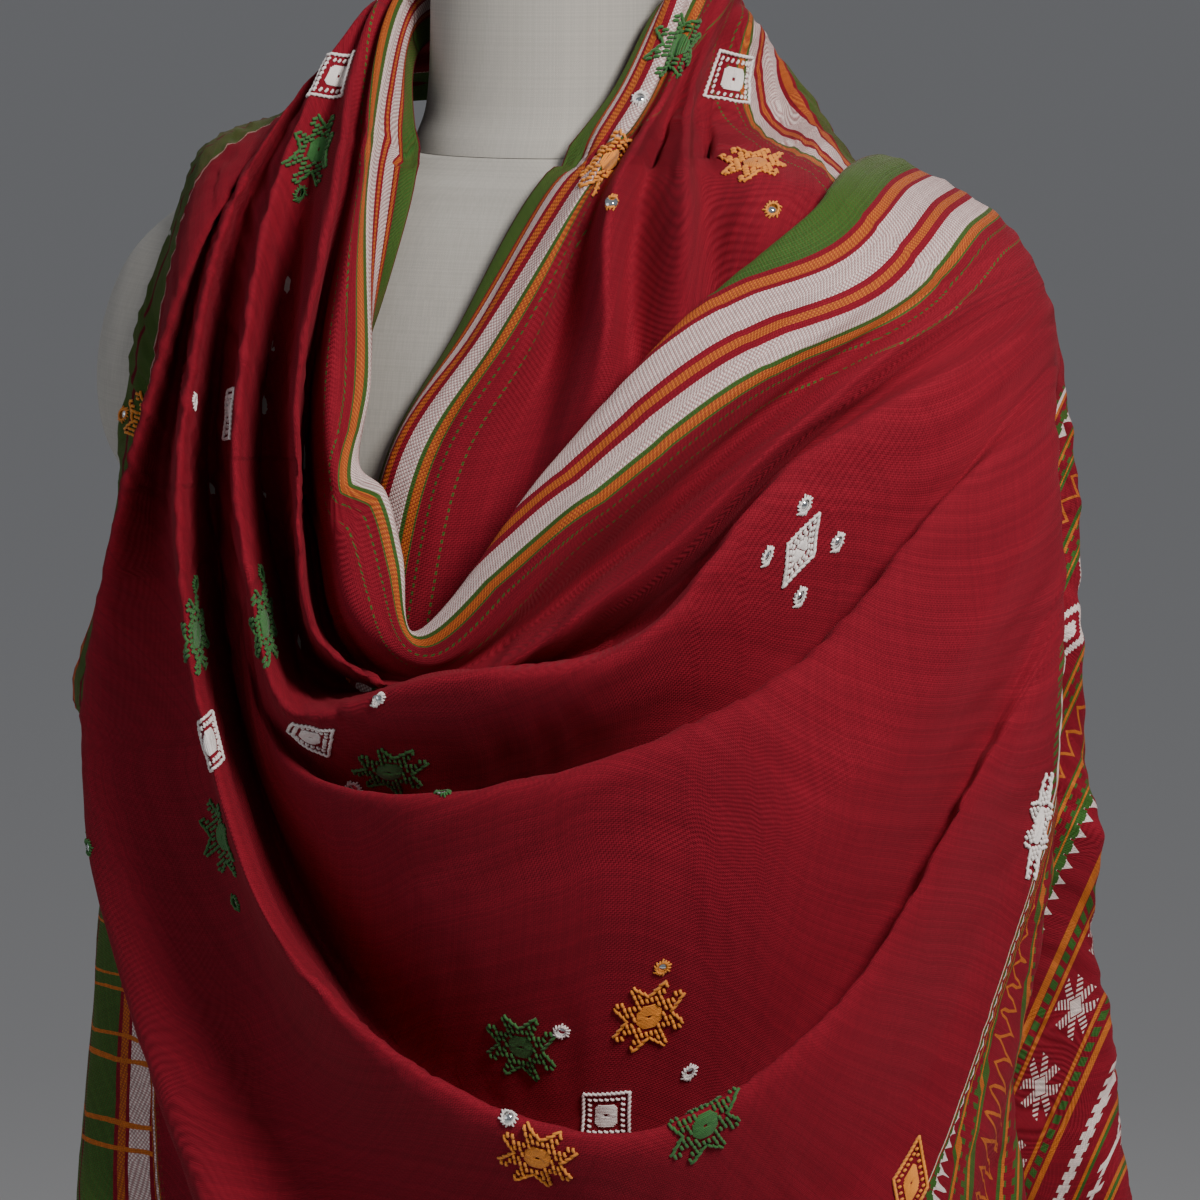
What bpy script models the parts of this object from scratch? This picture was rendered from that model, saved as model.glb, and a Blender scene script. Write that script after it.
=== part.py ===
"""Mirror work shawl worn on a limbless dress form, at real size.

Metres, +Z up, the form faces -Y. The origin is under the middle of the stand's base.
The drape is worked out in centimetres from the middle of the neck's base seam.
"""

from math import cos, pi, radians, sin

import bpy
import numpy as np
from mathutils.bvhtree import BVHTree

# ---------------------------------------------------------------- driving dimensions
COLLECTION_NAME = "mirror_work_shawl_on_dress_form"
CM = 0.01
SEAM_HEIGHT = 1.40            # metres from the floor to the neck's base
CLOTH_WALL = 0.001
SEAM_GAP = 0.0003             # between neighbouring stretches of cloth
FACE_GAP = 0.0003             # between the stand's and the form's own pieces
REST_GAP = 0.0005             # between the shawl and the form where it rests
SETTLE_PASSES = 8
SETTLE_CLOSE = 0.00005

FORM_SIDES = 32
NECK_PROFILE = (              # radius, height in cm, from the top down to the torso
    (4.9, 12.6), (5.25, 12.2), (5.35, 8.0), (5.45, 4.5), (5.65, 2.9), (6.1, 1.73), (6.25, 1.23),
)
POLE_RADIUS = 0.0125
POLE_SIDES = 24
BASE_RADIUS = 0.16
BASE_THICKNESS = 0.02
BASE_SIDES = 48
BASE_BEVEL = 0.004
SHARP_ANGLE = radians(45.0)   # edges that turn more than this aren't shaded smooth

# Folds are measured as seen from the front quarter, on a plane through the neck.
VIEW_TURN = radians(21.0)     # towards the wearer's left
VIEW_RISE = radians(10.0)
VIEW_DISTANCE = 200.0         # cm
VIEW_CENTRE = (2.3, -19.3)    # cm across and up from the neck's base
VIEW_REACH = 32.0             # cm before and behind the plane that are searched
VIEW_STEPS = 1280
SECTION_POWER = 2.2           # 2 is an ellipse, more is squarer

# Horizontal sections of the form, in cm: height, half_width, front, back.
FORM_SECTIONS = (
    (1.2, 6.3, 6.3, 6.3),
    (0.5, 9.2, 6.6, 6.9),
    (-0.1, 13.0, 7.0, 7.4),
    (-0.9, 16.2, 7.3, 7.8),
    (-2.2, 18.7, 7.9, 8.4),
    (-4.2, 20.8, 8.6, 9.0),
    (-7.2, 22.1, 9.4, 9.6),
    (-10.5, 22.4, 10.2, 10.0),
    (-13.0, 21.7, 10.7, 10.1),
    (-15.0, 20.0, 10.9, 10.0),
    (-17.0, 17.9, 11.1, 9.9),
    (-20.0, 16.4, 11.3, 9.7),
    (-26.0, 15.5, 11.0, 9.2),
    (-34.0, 13.5, 9.9, 8.5),
    (-40.0, 13.0, 9.6, 8.4),
    (-48.0, 14.9, 10.3, 9.8),
    (-57.0, 17.0, 11.0, 11.2),
    (-65.0, 17.4, 11.0, 11.4),
)

# The smooth surface that the cloth hangs on, in cm: height, half_width, front, back.
DRAPE_SECTIONS = (
    (14.0, 6.2, 6.2, 6.2),
    (8.0, 6.3, 6.3, 6.3),
    (4.0, 6.6, 6.6, 6.8),
    (2.0, 8.0, 7.2, 7.4),
    (0.8, 12.4, 7.8, 8.2),
    (-0.4, 17.0, 8.2, 8.8),
    (-2.0, 19.6, 8.8, 9.4),
    (-4.2, 21.6, 9.5, 10.0),
    (-7.2, 23.0, 10.4, 10.6),
    (-10.5, 23.2, 11.2, 11.0),
    (-14.0, 23.0, 11.8, 11.2),
    (-20.0, 22.6, 12.4, 11.0),
    (-35.0, 22.2, 12.6, 10.8),
    (-50.0, 22.2, 12.8, 12.0),
    (-80.0, 23.0, 13.2, 13.4),
)

# The front of the shawl: one row a fold, from the neckline down to the lower edge.
# Stations along each fold. "neck" and "turn" are x, y, z; the ones between are seen
# across, up and the lift off the drape surface, but "edge" is seen across, up and y, in cm.
FRONT_STATIONS = (
    "neck", "shoulder", "chest", "breast", "rib", "corner",
    "middle", "rise", "upper", "arm", "edge", "turn",
)
FRONT_FOLDS = {
    "selvedge": (
        (-5.6, -2.1, 5.6), (-6.1, -0.2, 0.0), (-8.7, -9.3, 0.3), (-9.4, -13.4, 0.6),
        (-9.0, -15.6, 0.9), (-7.8, -18.4, 1.2), (-5.7, -21.5, 0.9), (1.8, -13.7, 1.4),
        (7.3, -7.4, 1.9), (11.7, -2.2, 2.5), (13.4, 0.4, -1.3), (13.4, 7.2, 0.4),
    ),
    "neckline": (
        (-5.9, -2.3, 7.9), (-7.9, -0.2, 0.9), (-8.5, -9.3, 1.3), (-8.9, -13.2, 1.8),
        (-8.0, -14.7, 2.2), (-7.1, -17.7, 2.2), (-6.1, -20.9, 2.2), (0.5, -13.3, 2.8),
        (6.4, -6.5, 3.0), (11.5, -1.7, 3.0), (13.9, 0.6, -1.2), (14.2, 6.8, 0.4),
    ),
    "border": (
        (-6.4, -2.5, 8.2), (-8.7, -0.6, 1.6), (-9.9, -9.3, 2.2), (-9.9, -13.6, 2.4),
        (-9.6, -16.1, 2.6), (-8.7, -19.6, 2.8), (-5.5, -22.0, 2.5), (2.3, -15.0, 3.4),
        (8.6, -9.6, 3.2), (15.0, -5.2, 2.6), (19.5, -2.3, -0.3), (19.2, 5.2, -1.4),
    ),
    "valley_4": (
        (-6.7, -2.4, 7.7), (-9.2, -0.9, 0.5), (-10.9, -9.3, 0.0), (-11.0, -13.6, -0.4),
        (-10.8, -16.1, -0.2), (-9.6, -21.2, 0.6), (-5.3, -22.7, 1.8), (2.3, -17.7, 1.6),
        (9.5, -11.1, 1.9), (16.1, -6.1, 1.8), (20.7, -3.5, 0.0), (20.6, 5.0, -2.6),
    ),
    "ridge_4": (
        (-7.3, -2.7, 7.9), (-9.9, -0.9, 1.9), (-11.5, -9.3, 2.8), (-11.5, -13.6, 3.0),
        (-11.4, -16.5, 3.2), (-10.4, -21.1, 3.0), (-5.4, -23.3, 2.4), (3.2, -18.7, 2.9),
        (10.5, -12.0, 3.0), (16.8, -7.0, 2.4), (21.5, -4.4, 0.2), (21.6, 4.8, -4.0),
    ),
    "valley_3": (
        (-7.5, -2.6, 7.3), (-11.1, -0.6, 0.5), (-12.5, -9.3, -0.6), (-12.5, -13.6, -0.8),
        (-12.1, -17.0, -0.8), (-10.8, -22.4, -0.4), (-5.5, -23.3, 0.0), (4.1, -20.4, 0.8),
        (10.5, -13.6, 1.6), (17.0, -8.4, 1.6), (22.1, -5.5, 0.3), (22.3, 4.6, -5.4),
    ),
    "ridge_3": (
        (-8.1, -2.9, 7.3), (-12.4, -0.6, 1.8), (-13.9, -9.3, 2.6), (-14.1, -13.6, 3.0),
        (-13.5, -17.9, 3.2), (-11.8, -24.0, 3.1), (-5.5, -23.5, 4.4), (3.6, -21.8, 4.4),
        (11.1, -13.6, 3.2), (17.5, -9.3, 2.4), (22.6, -6.8, 0.2), (22.8, 4.4, -7.0),
    ),
    "under_3": (
        (-8.3, -2.7, 6.9), (-12.7, -0.7, 1.4), (-14.3, -9.3, 1.2), (-14.5, -13.6, 1.4),
        (-14.0, -19.3, 1.6), (-12.2, -25.2, 1.7), (-7.0, -28.4, 1.5), (3.2, -26.6, 1.4),
        (11.4, -21.8, 2.2), (18.0, -14.3, 2.0), (22.8, -8.6, -0.2), (22.8, 4.0, -9.5),
    ),
    "swag_3": (
        (-8.5, -2.8, 6.6), (-13.0, -0.8, 0.9), (-14.6, -9.4, 0.5), (-14.8, -13.8, 0.5),
        (-14.3, -20.2, 0.9), (-12.2, -26.4, 2.2), (-6.8, -28.7, 4.6), (3.2, -27.0, 5.0),
        (11.4, -22.5, 4.4), (18.0, -14.8, 3.2), (23.0, -10.6, -0.6), (22.0, 3.6, -12.6),
    ),
    "face_3": (
        (-8.7, -2.7, 6.2), (-13.3, -0.9, 0.5), (-14.9, -9.6, 0.0), (-15.0, -14.2, -0.2),
        (-14.5, -21.1, 0.0), (-12.2, -28.4, 1.0), (-5.9, -32.9, 3.4), (4.1, -32.0, 4.4),
        (12.0, -28.8, 4.6), (18.9, -21.1, 3.0), (23.2, -13.8, -1.0), (20.6, 3.2, -17.0),
    ),
    "valley_2": (
        (-8.8, -2.6, 5.8), (-13.7, -1.0, 0.2), (-15.3, -9.9, -0.4), (-15.4, -14.7, -0.7),
        (-14.5, -22.9, -0.8), (-11.3, -33.1, -0.6), (-5.0, -41.2, 0.2), (4.1, -43.5, 1.8),
        (12.8, -37.5, 2.8), (19.8, -25.6, 2.2), (23.4, -17.5, -1.4), (19.0, 3.0, -21.5),
    ),
    "ridge_2": (
        (-9.4, -2.8, 5.5), (-14.4, -1.2, 1.4), (-16.4, -9.8, 2.3), (-16.8, -15.2, 2.8),
        (-15.7, -24.7, 3.0), (-12.6, -34.0, 3.4), (-5.5, -42.0, 4.8), (4.1, -44.4, 5.4),
        (12.8, -38.5, 4.6), (20.0, -26.5, 3.0), (23.4, -21.5, -1.8), (17.9, 3.0, -26.5),
    ),
    "valley_1": (
        (-9.4, -2.4, 4.9), (-15.0, -1.5, 0.6), (-17.1, -9.8, 0.4), (-17.8, -15.2, 0.2),
        (-16.5, -24.7, 0.2), (-14.9, -33.1, 0.4), (-8.4, -49.3, 1.0), (4.1, -52.9, 2.0),
        (14.1, -45.6, 2.6), (20.5, -32.9, 2.4), (23.2, -25.6, -2.2), (17.0, 3.0, -32.0),
    ),
    "ridge_1": (
        (-9.9, -2.4, 4.4), (-15.5, -2.1, 1.3), (-18.1, -9.8, 2.0), (-19.3, -15.2, 1.4),
        (-20.2, -24.7, 0.8), (-19.1, -34.3, 1.4), (-10.0, -55.6, 3.8), (4.1, -60.2, 5.0),
        (15.0, -52.9, 4.2), (20.9, -39.7, 3.0), (22.7, -30.6, -2.4), (16.5, 3.0, -38.0),
    ),
}
# The rest of the front, which wraps round the right side and hangs below: x, y, z in cm.
LOWER_FOLDS = {
    "valley_0": (
        (-10.0, -1.7, 3.8), (-14.6, -6.3, -0.5), (-16.3, -8.3, -8.6), (-17.4, -7.2, -14.2),
        (-18.4, -4.4, -24.6), (-17.2, -6.4, -35.2), (-6.5, -14.2, -59.5), (8.5, -14.6, -62.0),
        (18.6, -11.2, -56.0), (22.6, -5.2, -45.5), (23.0, -2.2, -38.5), (16.8, 3.0, -45.0),
    ),
    "ridge_0": (
        (-10.7, -1.0, 3.3), (-15.7, -3.6, 0.8), (-17.9, -7.4, -7.6), (-19.0, -6.4, -13.6),
        (-20.6, -3.4, -24.0), (-20.2, -3.6, -36.5), (-9.5, -16.4, -64.5), (7.0, -17.6, -67.5),
        (18.4, -13.4, -62.5), (23.6, -6.2, -53.0), (24.0, -2.6, -46.0), (17.4, 3.2, -52.0),
    ),
    "lower_edge": (
        (-11.1, 0.0, 2.6), (-16.4, -1.2, 1.4), (-18.6, -6.6, -6.6), (-20.0, -5.2, -14.0),
        (-22.3, -1.5, -25.5), (-21.4, -0.8, -38.0), (-13.0, -14.6, -69.0), (5.0, -16.4, -73.5),
        (18.0, -12.4, -70.0), (23.4, -5.4, -62.0), (23.8, -2.0, -54.5), (18.5, 3.4, -58.0),
    ),
}

# The gathered stretch beside the neck: one row a fold, from the neck outwards, seen
# across, up and the lift off the drape surface, but "neck" is x, y, z, in cm. The last
# station is hidden.
NECK_STATIONS = ("neck", "collar", "shoulder", "chest", "breast", "hidden_end")
NECK_FOLDS = {
    "selvedge": (
        (5.9, -1.7, 8.0), (2.8, 3.9, 0.0), (-1.1, -1.1, -0.1),
        (-4.3, -7.0, -0.1), (-7.4, -12.4, -0.1), (-9.3, -15.6, -0.2),
    ),
    "roll": (
        (6.6, -1.5, 8.8), (3.6, 3.9, 1.0), (0.5, -1.1, 0.9),
        (-3.1, -7.0, 0.9), (-6.9, -12.5, 0.7), (-9.1, -16.8, 0.3),
    ),
    "face_1": (
        (7.2, -1.0, 9.0), (4.5, 3.7, 1.8), (1.3, -1.1, 1.5),
        (-1.3, -7.2, 1.5), (-4.3, -13.0, 0.9), (-6.8, -17.9, 0.3),
    ),
    "valley_1": (
        (7.5, -0.5, 8.9), (4.8, 3.7, 1.3), (2.0, -1.1, 0.4),
        (0.5, -7.0, 0.0), (-0.9, -12.5, 0.0), (-2.5, -17.9, -0.1),
    ),
    "ridge_1": (
        (7.8, 0.0, 8.7), (5.2, 3.7, 2.2), (2.8, -1.1, 2.3),
        (2.5, -7.0, 2.0), (1.8, -11.3, 1.2), (1.1, -17.5, 0.3),
    ),
    "valley_2": (
        (8.0, 0.5, 8.4), (5.8, 3.7, 1.3), (4.2, -1.1, 0.2),
        (3.8, -7.0, 0.3), (4.3, -11.5, 0.2), (5.0, -17.5, 0.0),
    ),
    "ridge_2": (
        (8.3, 0.9, 8.2), (6.4, 3.7, 2.0), (6.2, -1.3, 2.0),
        (6.1, -6.5, 1.0), (7.0, -11.1, 0.6), (8.2, -16.5, 0.2),
    ),
    "valley_3": (
        (8.4, 1.6, 7.7), (7.0, 3.7, 0.8), (7.1, -1.3, 0.4),
        (7.8, -6.1, 0.1), (9.1, -10.2, 0.0), (10.9, -14.7, 0.0),
    ),
    "face_2": (
        (8.8, 2.5, 7.1), (8.5, 3.5, 1.8), (9.6, -1.1, 1.3),
        (10.2, -5.2, 0.4), (12.0, -8.8, 0.2), (14.1, -12.5, 0.0),
    ),
    "border": (
        (8.7, 4.8, 6.4), (10.4, 3.5, 1.6), (11.9, -0.6, 1.4),
        (13.4, -3.4, 0.4), (15.0, -6.1, 0.1), (17.3, -9.3, 0.0),
    ),
    "outer_edge": (
        (8.8, 6.2, 5.5), (11.4, 3.7, 0.8), (14.0, 0.1, 0.4),
        (15.9, -1.8, 0.1), (17.7, -4.3, 0.0), (19.8, -7.0, -0.1),
    ),
}

# The front's folds round the back of the neck, in the same order: radius, height in cm.
NAPE_PROFILE = (
    (6.1, 6.6), (6.4, 8.8), (7.0, 9.2), (7.5, 8.9), (8.1, 8.9), (8.4, 8.4),
    (8.9, 8.2), (9.2, 7.8), (9.5, 7.5), (9.7, 7.1), (9.9, 6.7), (10.4, 6.3),
    (10.5, 5.7), (11.0, 5.2), (11.1, 4.5), (11.5, 3.8), (11.7, 2.9),
)
NAPE_TURNS = (150.0, 180.0, 208.0, 235.0)     # degrees round the neck from its front

# The tail over the shoulder and across the back: one row a fold, from the neckline edge
# to the lower edge. "row" counts the front's folds; each point is the angle round the
# form from its front, in degrees, and the height, in cm.
TAIL_FOLDS = (
    {"row": 0, "lift": 0.8,
     "path": ((128, -1.5), (152, -8), (185, -18), (215, -27), (240, -34), (262, -47), (268, -63))},
    {"row": 2, "lift": 2.4,
     "path": ((116, -4), (145, -13), (178, -25), (205, -35), (228, -45), (244, -62))},
    {"row": 3, "lift": 0.7,
     "path": ((111, -5.5), (140, -16.5), (170, -30), (195, -41), (215, -51), (227, -61))},
    {"row": 4, "lift": 2.6, "path": ((108, -7.5), (135, -20), (162, -35), (184, -46), (202, -59.5))},
    {"row": 5, "lift": 0.7, "path": ((106, -9.5), (131, -24), (153, -38.5), (170, -49.5), (184, -58))},
    {"row": 6, "lift": 2.6, "path": ((104, -12), (126, -26), (145, -41), (161, -56))},
    {"row": 8, "lift": 0.8, "path": ((103, -17), (121, -29), (136, -41.5), (147, -54))},
    {"row": 9, "lift": 2.4, "path": ((102, -21.5), (117, -32.5), (127, -43.5), (135, -53))},
    {"row": 11, "lift": 1.2, "path": ((101, -29), (112, -37.5), (119, -45), (124, -52))},
    {"row": 13, "lift": 2.4, "path": ((101, -38), (107, -42.5), (112, -47), (115, -51.5))},
    {"row": 14, "lift": 2.2, "path": ((100, -44.8), (104, -48), (107, -52.5))},
    {"row": 16, "lift": 1.0, "path": ((98, -57.5), (104, -59), (109, -60))},
)
SIDE_LIFT = 2.0               # lift of every tail fold where it first shows at the side
FLARE_TOP = -11.0             # cm, below this the tail stands out further at the side
FLARE_SLOPE = 0.088           # cm out for each cm further down
FLARE_TURNS = (130.0, 190.0)  # degrees: the whole flare before the first, none after the second

# The hidden back row of the gathered stretch, at the same stations: x, y, z in cm.
NECK_BACK_ROW = (
    (9.4, 7.4, 4.2), (11.8, 5.7, 1.9), (14.4, 3.6, -0.2),
    (16.6, 2.4, -1.0), (18.8, 1.0, -1.6), (20.6, -0.4, -3.1),
)

TAIL_SECTIONS = 8
TAIL_PATH_STEPS = 8           # steps from point to point of a tail fold's path
SLIP_POWER = 3                # how soon the rows between the tail's folds come into line
ROW_COUNT = 33                # points across the shawl, two for each of the front's folds
SEAM_GUARD = 0.02             # of a station, so that both sides of a seam lie alike
FOLD_RADIUS = 0.3             # cm, the tightest fold across the shawl
ROUNDING_PASSES = 40

# Stations along the whole shawl: the gathered stretch, the nape, the front and the tail.
NAPE_START = len(NECK_STATIONS) - 1
FRONT_START = NAPE_START + 2 + len(NAPE_TURNS)
CHEST_SEAM = FRONT_START + FRONT_STATIONS.index("chest")
TAIL_START = FRONT_START + FRONT_STATIONS.index("turn")
END_STATION = TAIL_START + TAIL_SECTIONS

# The stretches that show: name, first and last station, grid steps from station to station.
STRETCHES = (
    ("shawl_neck_folds", 0, NAPE_START, 3),
    ("shawl_nape", NAPE_START, FRONT_START, 2),
    ("shawl_right_fall", FRONT_START, CHEST_SEAM, 3),
    ("shawl_front_swags", CHEST_SEAM, TAIL_START, 3),
    ("shawl_tail", TAIL_START, END_STATION, 2),
)

COLOURS = {
    "crimson wool": (0.27, 0.012, 0.028),
    "form linen": (0.52, 0.50, 0.46),
    "stand steel": (0.04, 0.04, 0.045),
}


# ---------------------------------------------------------------- drape geometry, in cm
VIEW_RIGHT = np.array((cos(VIEW_TURN), sin(VIEW_TURN), 0.0))
VIEW_TOWARD = np.array((sin(VIEW_TURN) * cos(VIEW_RISE), -cos(VIEW_TURN) * cos(VIEW_RISE), sin(VIEW_RISE)))
VIEW_UP = np.cross(VIEW_TOWARD, VIEW_RIGHT)
VIEW_EYE = VIEW_RIGHT * VIEW_CENTRE[0] + VIEW_UP * VIEW_CENTRE[1] + VIEW_TOWARD * VIEW_DISTANCE


def section_at(sections, height):
    """half_width, front and back of a table of sections at one height or at many."""
    table = np.array(sections[::-1])
    return tuple(np.interp(height, table[:, 0], table[:, column]) for column in (1, 2, 3))


def drape_level(points, lift):
    """1 on the drape surface moved out by lift, less inside it."""
    half_width, front, back = section_at(DRAPE_SECTIONS, points[..., 2])
    depth = np.where(points[..., 1] < 0, front, back)
    across = np.abs(points[..., 0]) / (half_width + lift)
    along = np.abs(points[..., 1]) / (depth + lift)
    return (across ** SECTION_POWER + along ** SECTION_POWER) ** (1 / SECTION_POWER)


def seen_point(across, height, lift):
    """The point of the lifted drape surface that is seen at one place of the view."""
    on_plane = VIEW_RIGHT * across + VIEW_UP * height
    ray = on_plane - VIEW_EYE
    ray /= np.linalg.norm(ray)
    nearest = VIEW_DISTANCE - VIEW_REACH
    distances = np.linspace(nearest, nearest + 2 * VIEW_REACH, VIEW_STEPS + 1)
    points = VIEW_EYE + distances[:, None] * ray
    levels = drape_level(points, lift)
    if levels.min() >= 1.0:
        return points[levels.argmin()]
    return points[(levels < 1.0).argmax()]


def seen_at_depth(across, height, y):
    """The point at a given y that is seen at one place of the view."""
    on_plane = VIEW_RIGHT * across + VIEW_UP * height
    reach = (y - VIEW_EYE[1]) / (on_plane[1] - VIEW_EYE[1])
    return VIEW_EYE + (on_plane - VIEW_EYE) * reach


def form_point(degrees, height, lift):
    """A point of the lifted drape surface at an angle round the form from its front."""
    direction = np.array((sin(radians(degrees)), -cos(radians(degrees))))
    half_width, front, back = section_at(DRAPE_SECTIONS, height)
    depth = front if direction[1] < 0 else back
    level = (abs(direction[0]) / (half_width + lift)) ** SECTION_POWER
    level += (abs(direction[1]) / (depth + lift)) ** SECTION_POWER
    x, y = direction * level ** (-1 / SECTION_POWER)
    return np.array((x, y, height))


def curve_between(before, start, end, after, fraction):
    """Centripetal Catmull-Rom point between start and end."""
    knots = [0.0]
    for first, second in ((before, start), (start, end), (end, after)):
        knots.append(knots[-1] + max(np.linalg.norm(second - first) ** 0.5, 1e-6))
    k0, k1, k2, k3 = knots
    k = k1 + (k2 - k1) * fraction
    a1 = ((k1 - k) * before + (k - k0) * start) / (k1 - k0)
    a2 = ((k2 - k) * start + (k - k1) * end) / (k2 - k1)
    a3 = ((k3 - k) * end + (k - k2) * after) / (k3 - k2)
    b1 = ((k2 - k) * a1 + (k - k0) * a2) / (k2 - k0)
    b2 = ((k3 - k) * a2 + (k - k1) * a3) / (k3 - k1)
    return ((k2 - k) * b1 + (k - k1) * b2) / (k2 - k1)


def smooth_path(points, places):
    """Places on a smooth curve through the points, where 1.5 is halfway from point 1 to 2."""
    points = [np.asarray(point, float) for point in points]
    last = len(points) - 1
    path = []
    for place in places:
        i = min(int(place), last - 1)
        start, end = points[i], points[i + 1]
        before = points[i - 1] if i > 0 else 2 * start - end
        after = points[i + 2] if i + 1 < last else 2 * end - start
        path.append(curve_between(before, start, end, after, place - i))
    return np.array(path)


def even_places(first, last, steps):
    return [first + i / steps for i in range((last - first) * steps + 1)]


def guarded_places(first, last, steps):
    """Places from one station to another, with a close one inside each end for a seam."""
    places = even_places(first, last, steps)
    return [first, first + SEAM_GUARD, *places[1:-1], last - SEAM_GUARD, last]


def rows_between(rows, known_rows, known_points):
    """Points at every row, in straight steps between the rows that are known."""
    return np.stack([np.interp(rows, known_rows, known_points[:, axis]) for axis in range(3)], axis=1)


def resampled(path, fractions):
    """Points of a polyline at fractions of its length."""
    lengths = np.concatenate(([0.0], np.cumsum(np.linalg.norm(np.diff(path, axis=0), axis=1))))
    return rows_between(fractions * lengths[-1], lengths, path)


def gathered_sections():
    """Sections of the gathered stretch, from its hidden end up to the side of the neck."""
    folds = [[cells[0], *(seen_point(*cell) for cell in cells[1:])] for cells in NECK_FOLDS.values()]
    folds.append(NECK_BACK_ROW)
    return [np.array([fold[i] for fold in folds]) for i in reversed(range(len(NECK_STATIONS)))]


def nape_sections():
    """Sections round the back of the neck, from the wearer's left to right."""
    sections = []
    for degrees in NAPE_TURNS:
        outward = np.array((sin(radians(degrees)), -cos(radians(degrees)), 0.0))
        points = [outward * radius + (0.0, 0.0, height) for radius, height in NAPE_PROFILE]
        sections.append(np.array(points))
    return sections


def front_sections():
    """Sections of the front from the neck to the turn behind the wearer's left side."""
    folds = []
    for name, cells in (FRONT_FOLDS | LOWER_FOLDS).items():
        points = [np.array(cell) for cell in cells]
        if name in FRONT_FOLDS:
            points[1:-2] = [seen_point(*cell) for cell in cells[1:-2]]
            points[-2] = seen_at_depth(*cells[-2])
        folds.append(points)
    return [np.array([fold[i] for fold in folds]) for i in range(len(FRONT_STATIONS))]


def side_flare(degrees, height):
    """How much further out the tail stands towards its hem at the wearer's left side."""
    return FLARE_SLOPE * max(0.0, FLARE_TOP - height) * np.interp(degrees, FLARE_TURNS, (1.0, 0.0))


def tail_sections(edge, turn):
    """Sections of the tail, evenly along every fold from the turn to the shawl's end."""
    fractions = np.linspace(0.0, 1.0, TAIL_SECTIONS + 1)
    known = [fold["row"] for fold in TAIL_FOLDS]
    paths = []
    for fold in TAIL_FOLDS:
        points = [edge[fold["row"]], turn[fold["row"]]]
        last = len(fold["path"]) - 1
        for i, (degrees, height) in enumerate(fold["path"]):
            lift = SIDE_LIFT + (fold["lift"] - SIDE_LIFT) * min(1.0, 2 * i / last)
            points.append(form_point(degrees, height, lift + side_flare(degrees, height)))
        places = even_places(1, len(points) - 1, TAIL_PATH_STEPS)
        paths.append(resampled(smooth_path(points, places), fractions))
    rows = range(len(turn))
    slip = turn - rows_between(rows, known, turn[known])
    sections = []
    for i, fraction in enumerate(fractions[1:], start=1):
        own = np.array([path[i] for path in paths])
        sections.append(rows_between(rows, known, own) + slip * (1 - fraction) ** SLIP_POWER)
    return sections


def across(section):
    """A section as a smooth curve, with the same count of points whatever its folds."""
    return smooth_path(section, np.linspace(0, len(section) - 1, ROW_COUNT))


def turned_between(first, second):
    """The section halfway round the neck from one section to another."""
    polar = []
    for section in (first, second):
        turns = np.unwrap(np.arctan2(section[:, 0], -section[:, 1]))
        polar.append(np.stack((turns, np.hypot(section[:, 0], section[:, 1]), section[:, 2])))
    turns, radii, heights = (polar[0] + polar[1]) / 2
    return np.stack((radii * np.sin(turns), -radii * np.cos(turns), heights), axis=1)


def shawl_sections():
    """Every section across the shawl, from its hidden front end to its end on the back."""
    gathered = [across(section) for section in gathered_sections()]
    nape = [across(section) for section in nape_sections()]
    fronts = front_sections()
    tail = tail_sections(*fronts[-2:])
    return [*gathered, turned_between(gathered[-1], nape[0]), *nape,
            *(across(section) for section in fronts), *(across(section) for section in tail)]


def rounded(grid):
    """The grid with its tightest folds opened until a wall can follow them."""
    grid = grid.copy()
    for _ in range(ROUNDING_PASSES):
        middle = (grid[:, :-2] + grid[:, 2:]) / 2
        depth = np.linalg.norm(grid[:, 1:-1] - middle, axis=2)
        half_width = np.linalg.norm(grid[:, 2:] - grid[:, :-2], axis=2) / 2
        tight = depth > half_width ** 2 / (2 * FOLD_RADIUS)
        grid[:, 1:-1] = np.where(tight[:, :, None], (grid[:, 1:-1] + middle) / 2, grid[:, 1:-1])
    return grid


def shawl_grid(sections, places):
    """Columns of points of the shawl at places along it."""
    rows = [smooth_path([section[i] for section in sections], places) for i in range(ROW_COUNT)]
    return rounded(np.stack(rows, axis=1))


def trimmed(grid, start=False, end=False):
    """The grid with half a seam gap taken off its first or last column."""
    grid = grid.copy()
    step = SEAM_GAP / CM / 2
    if start:
        inward = grid[1] - grid[0]
        grid[0] += inward / np.maximum(np.linalg.norm(inward, axis=1, keepdims=True), 1e-9) * step
    if end:
        inward = grid[-2] - grid[-1]
        grid[-1] += inward / np.maximum(np.linalg.norm(inward, axis=1, keepdims=True), 1e-9) * step
    return grid


# ---------------------------------------------------------------- Blender objects
def clear_scene():
    for item in list(bpy.data.objects):
        bpy.data.objects.remove(item, do_unlink=True)


def make_material(name, roughness, metallic):
    material = bpy.data.materials.new(name)
    material.use_nodes = True
    shader = material.node_tree.nodes["Principled BSDF"]
    shader.inputs["Base Color"].default_value = (*COLOURS[name], 1.0)
    shader.inputs["Roughness"].default_value = roughness
    shader.inputs["Metallic"].default_value = metallic
    return material


def make_object(name, vertices, faces, collection, material):
    mesh = bpy.data.meshes.new(name)
    mesh.from_pydata([tuple(vertex) for vertex in vertices], [], faces)
    mesh.materials.append(material)
    mesh.shade_smooth()
    item = bpy.data.objects.new(name, mesh)
    collection.objects.link(item)
    return item


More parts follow.
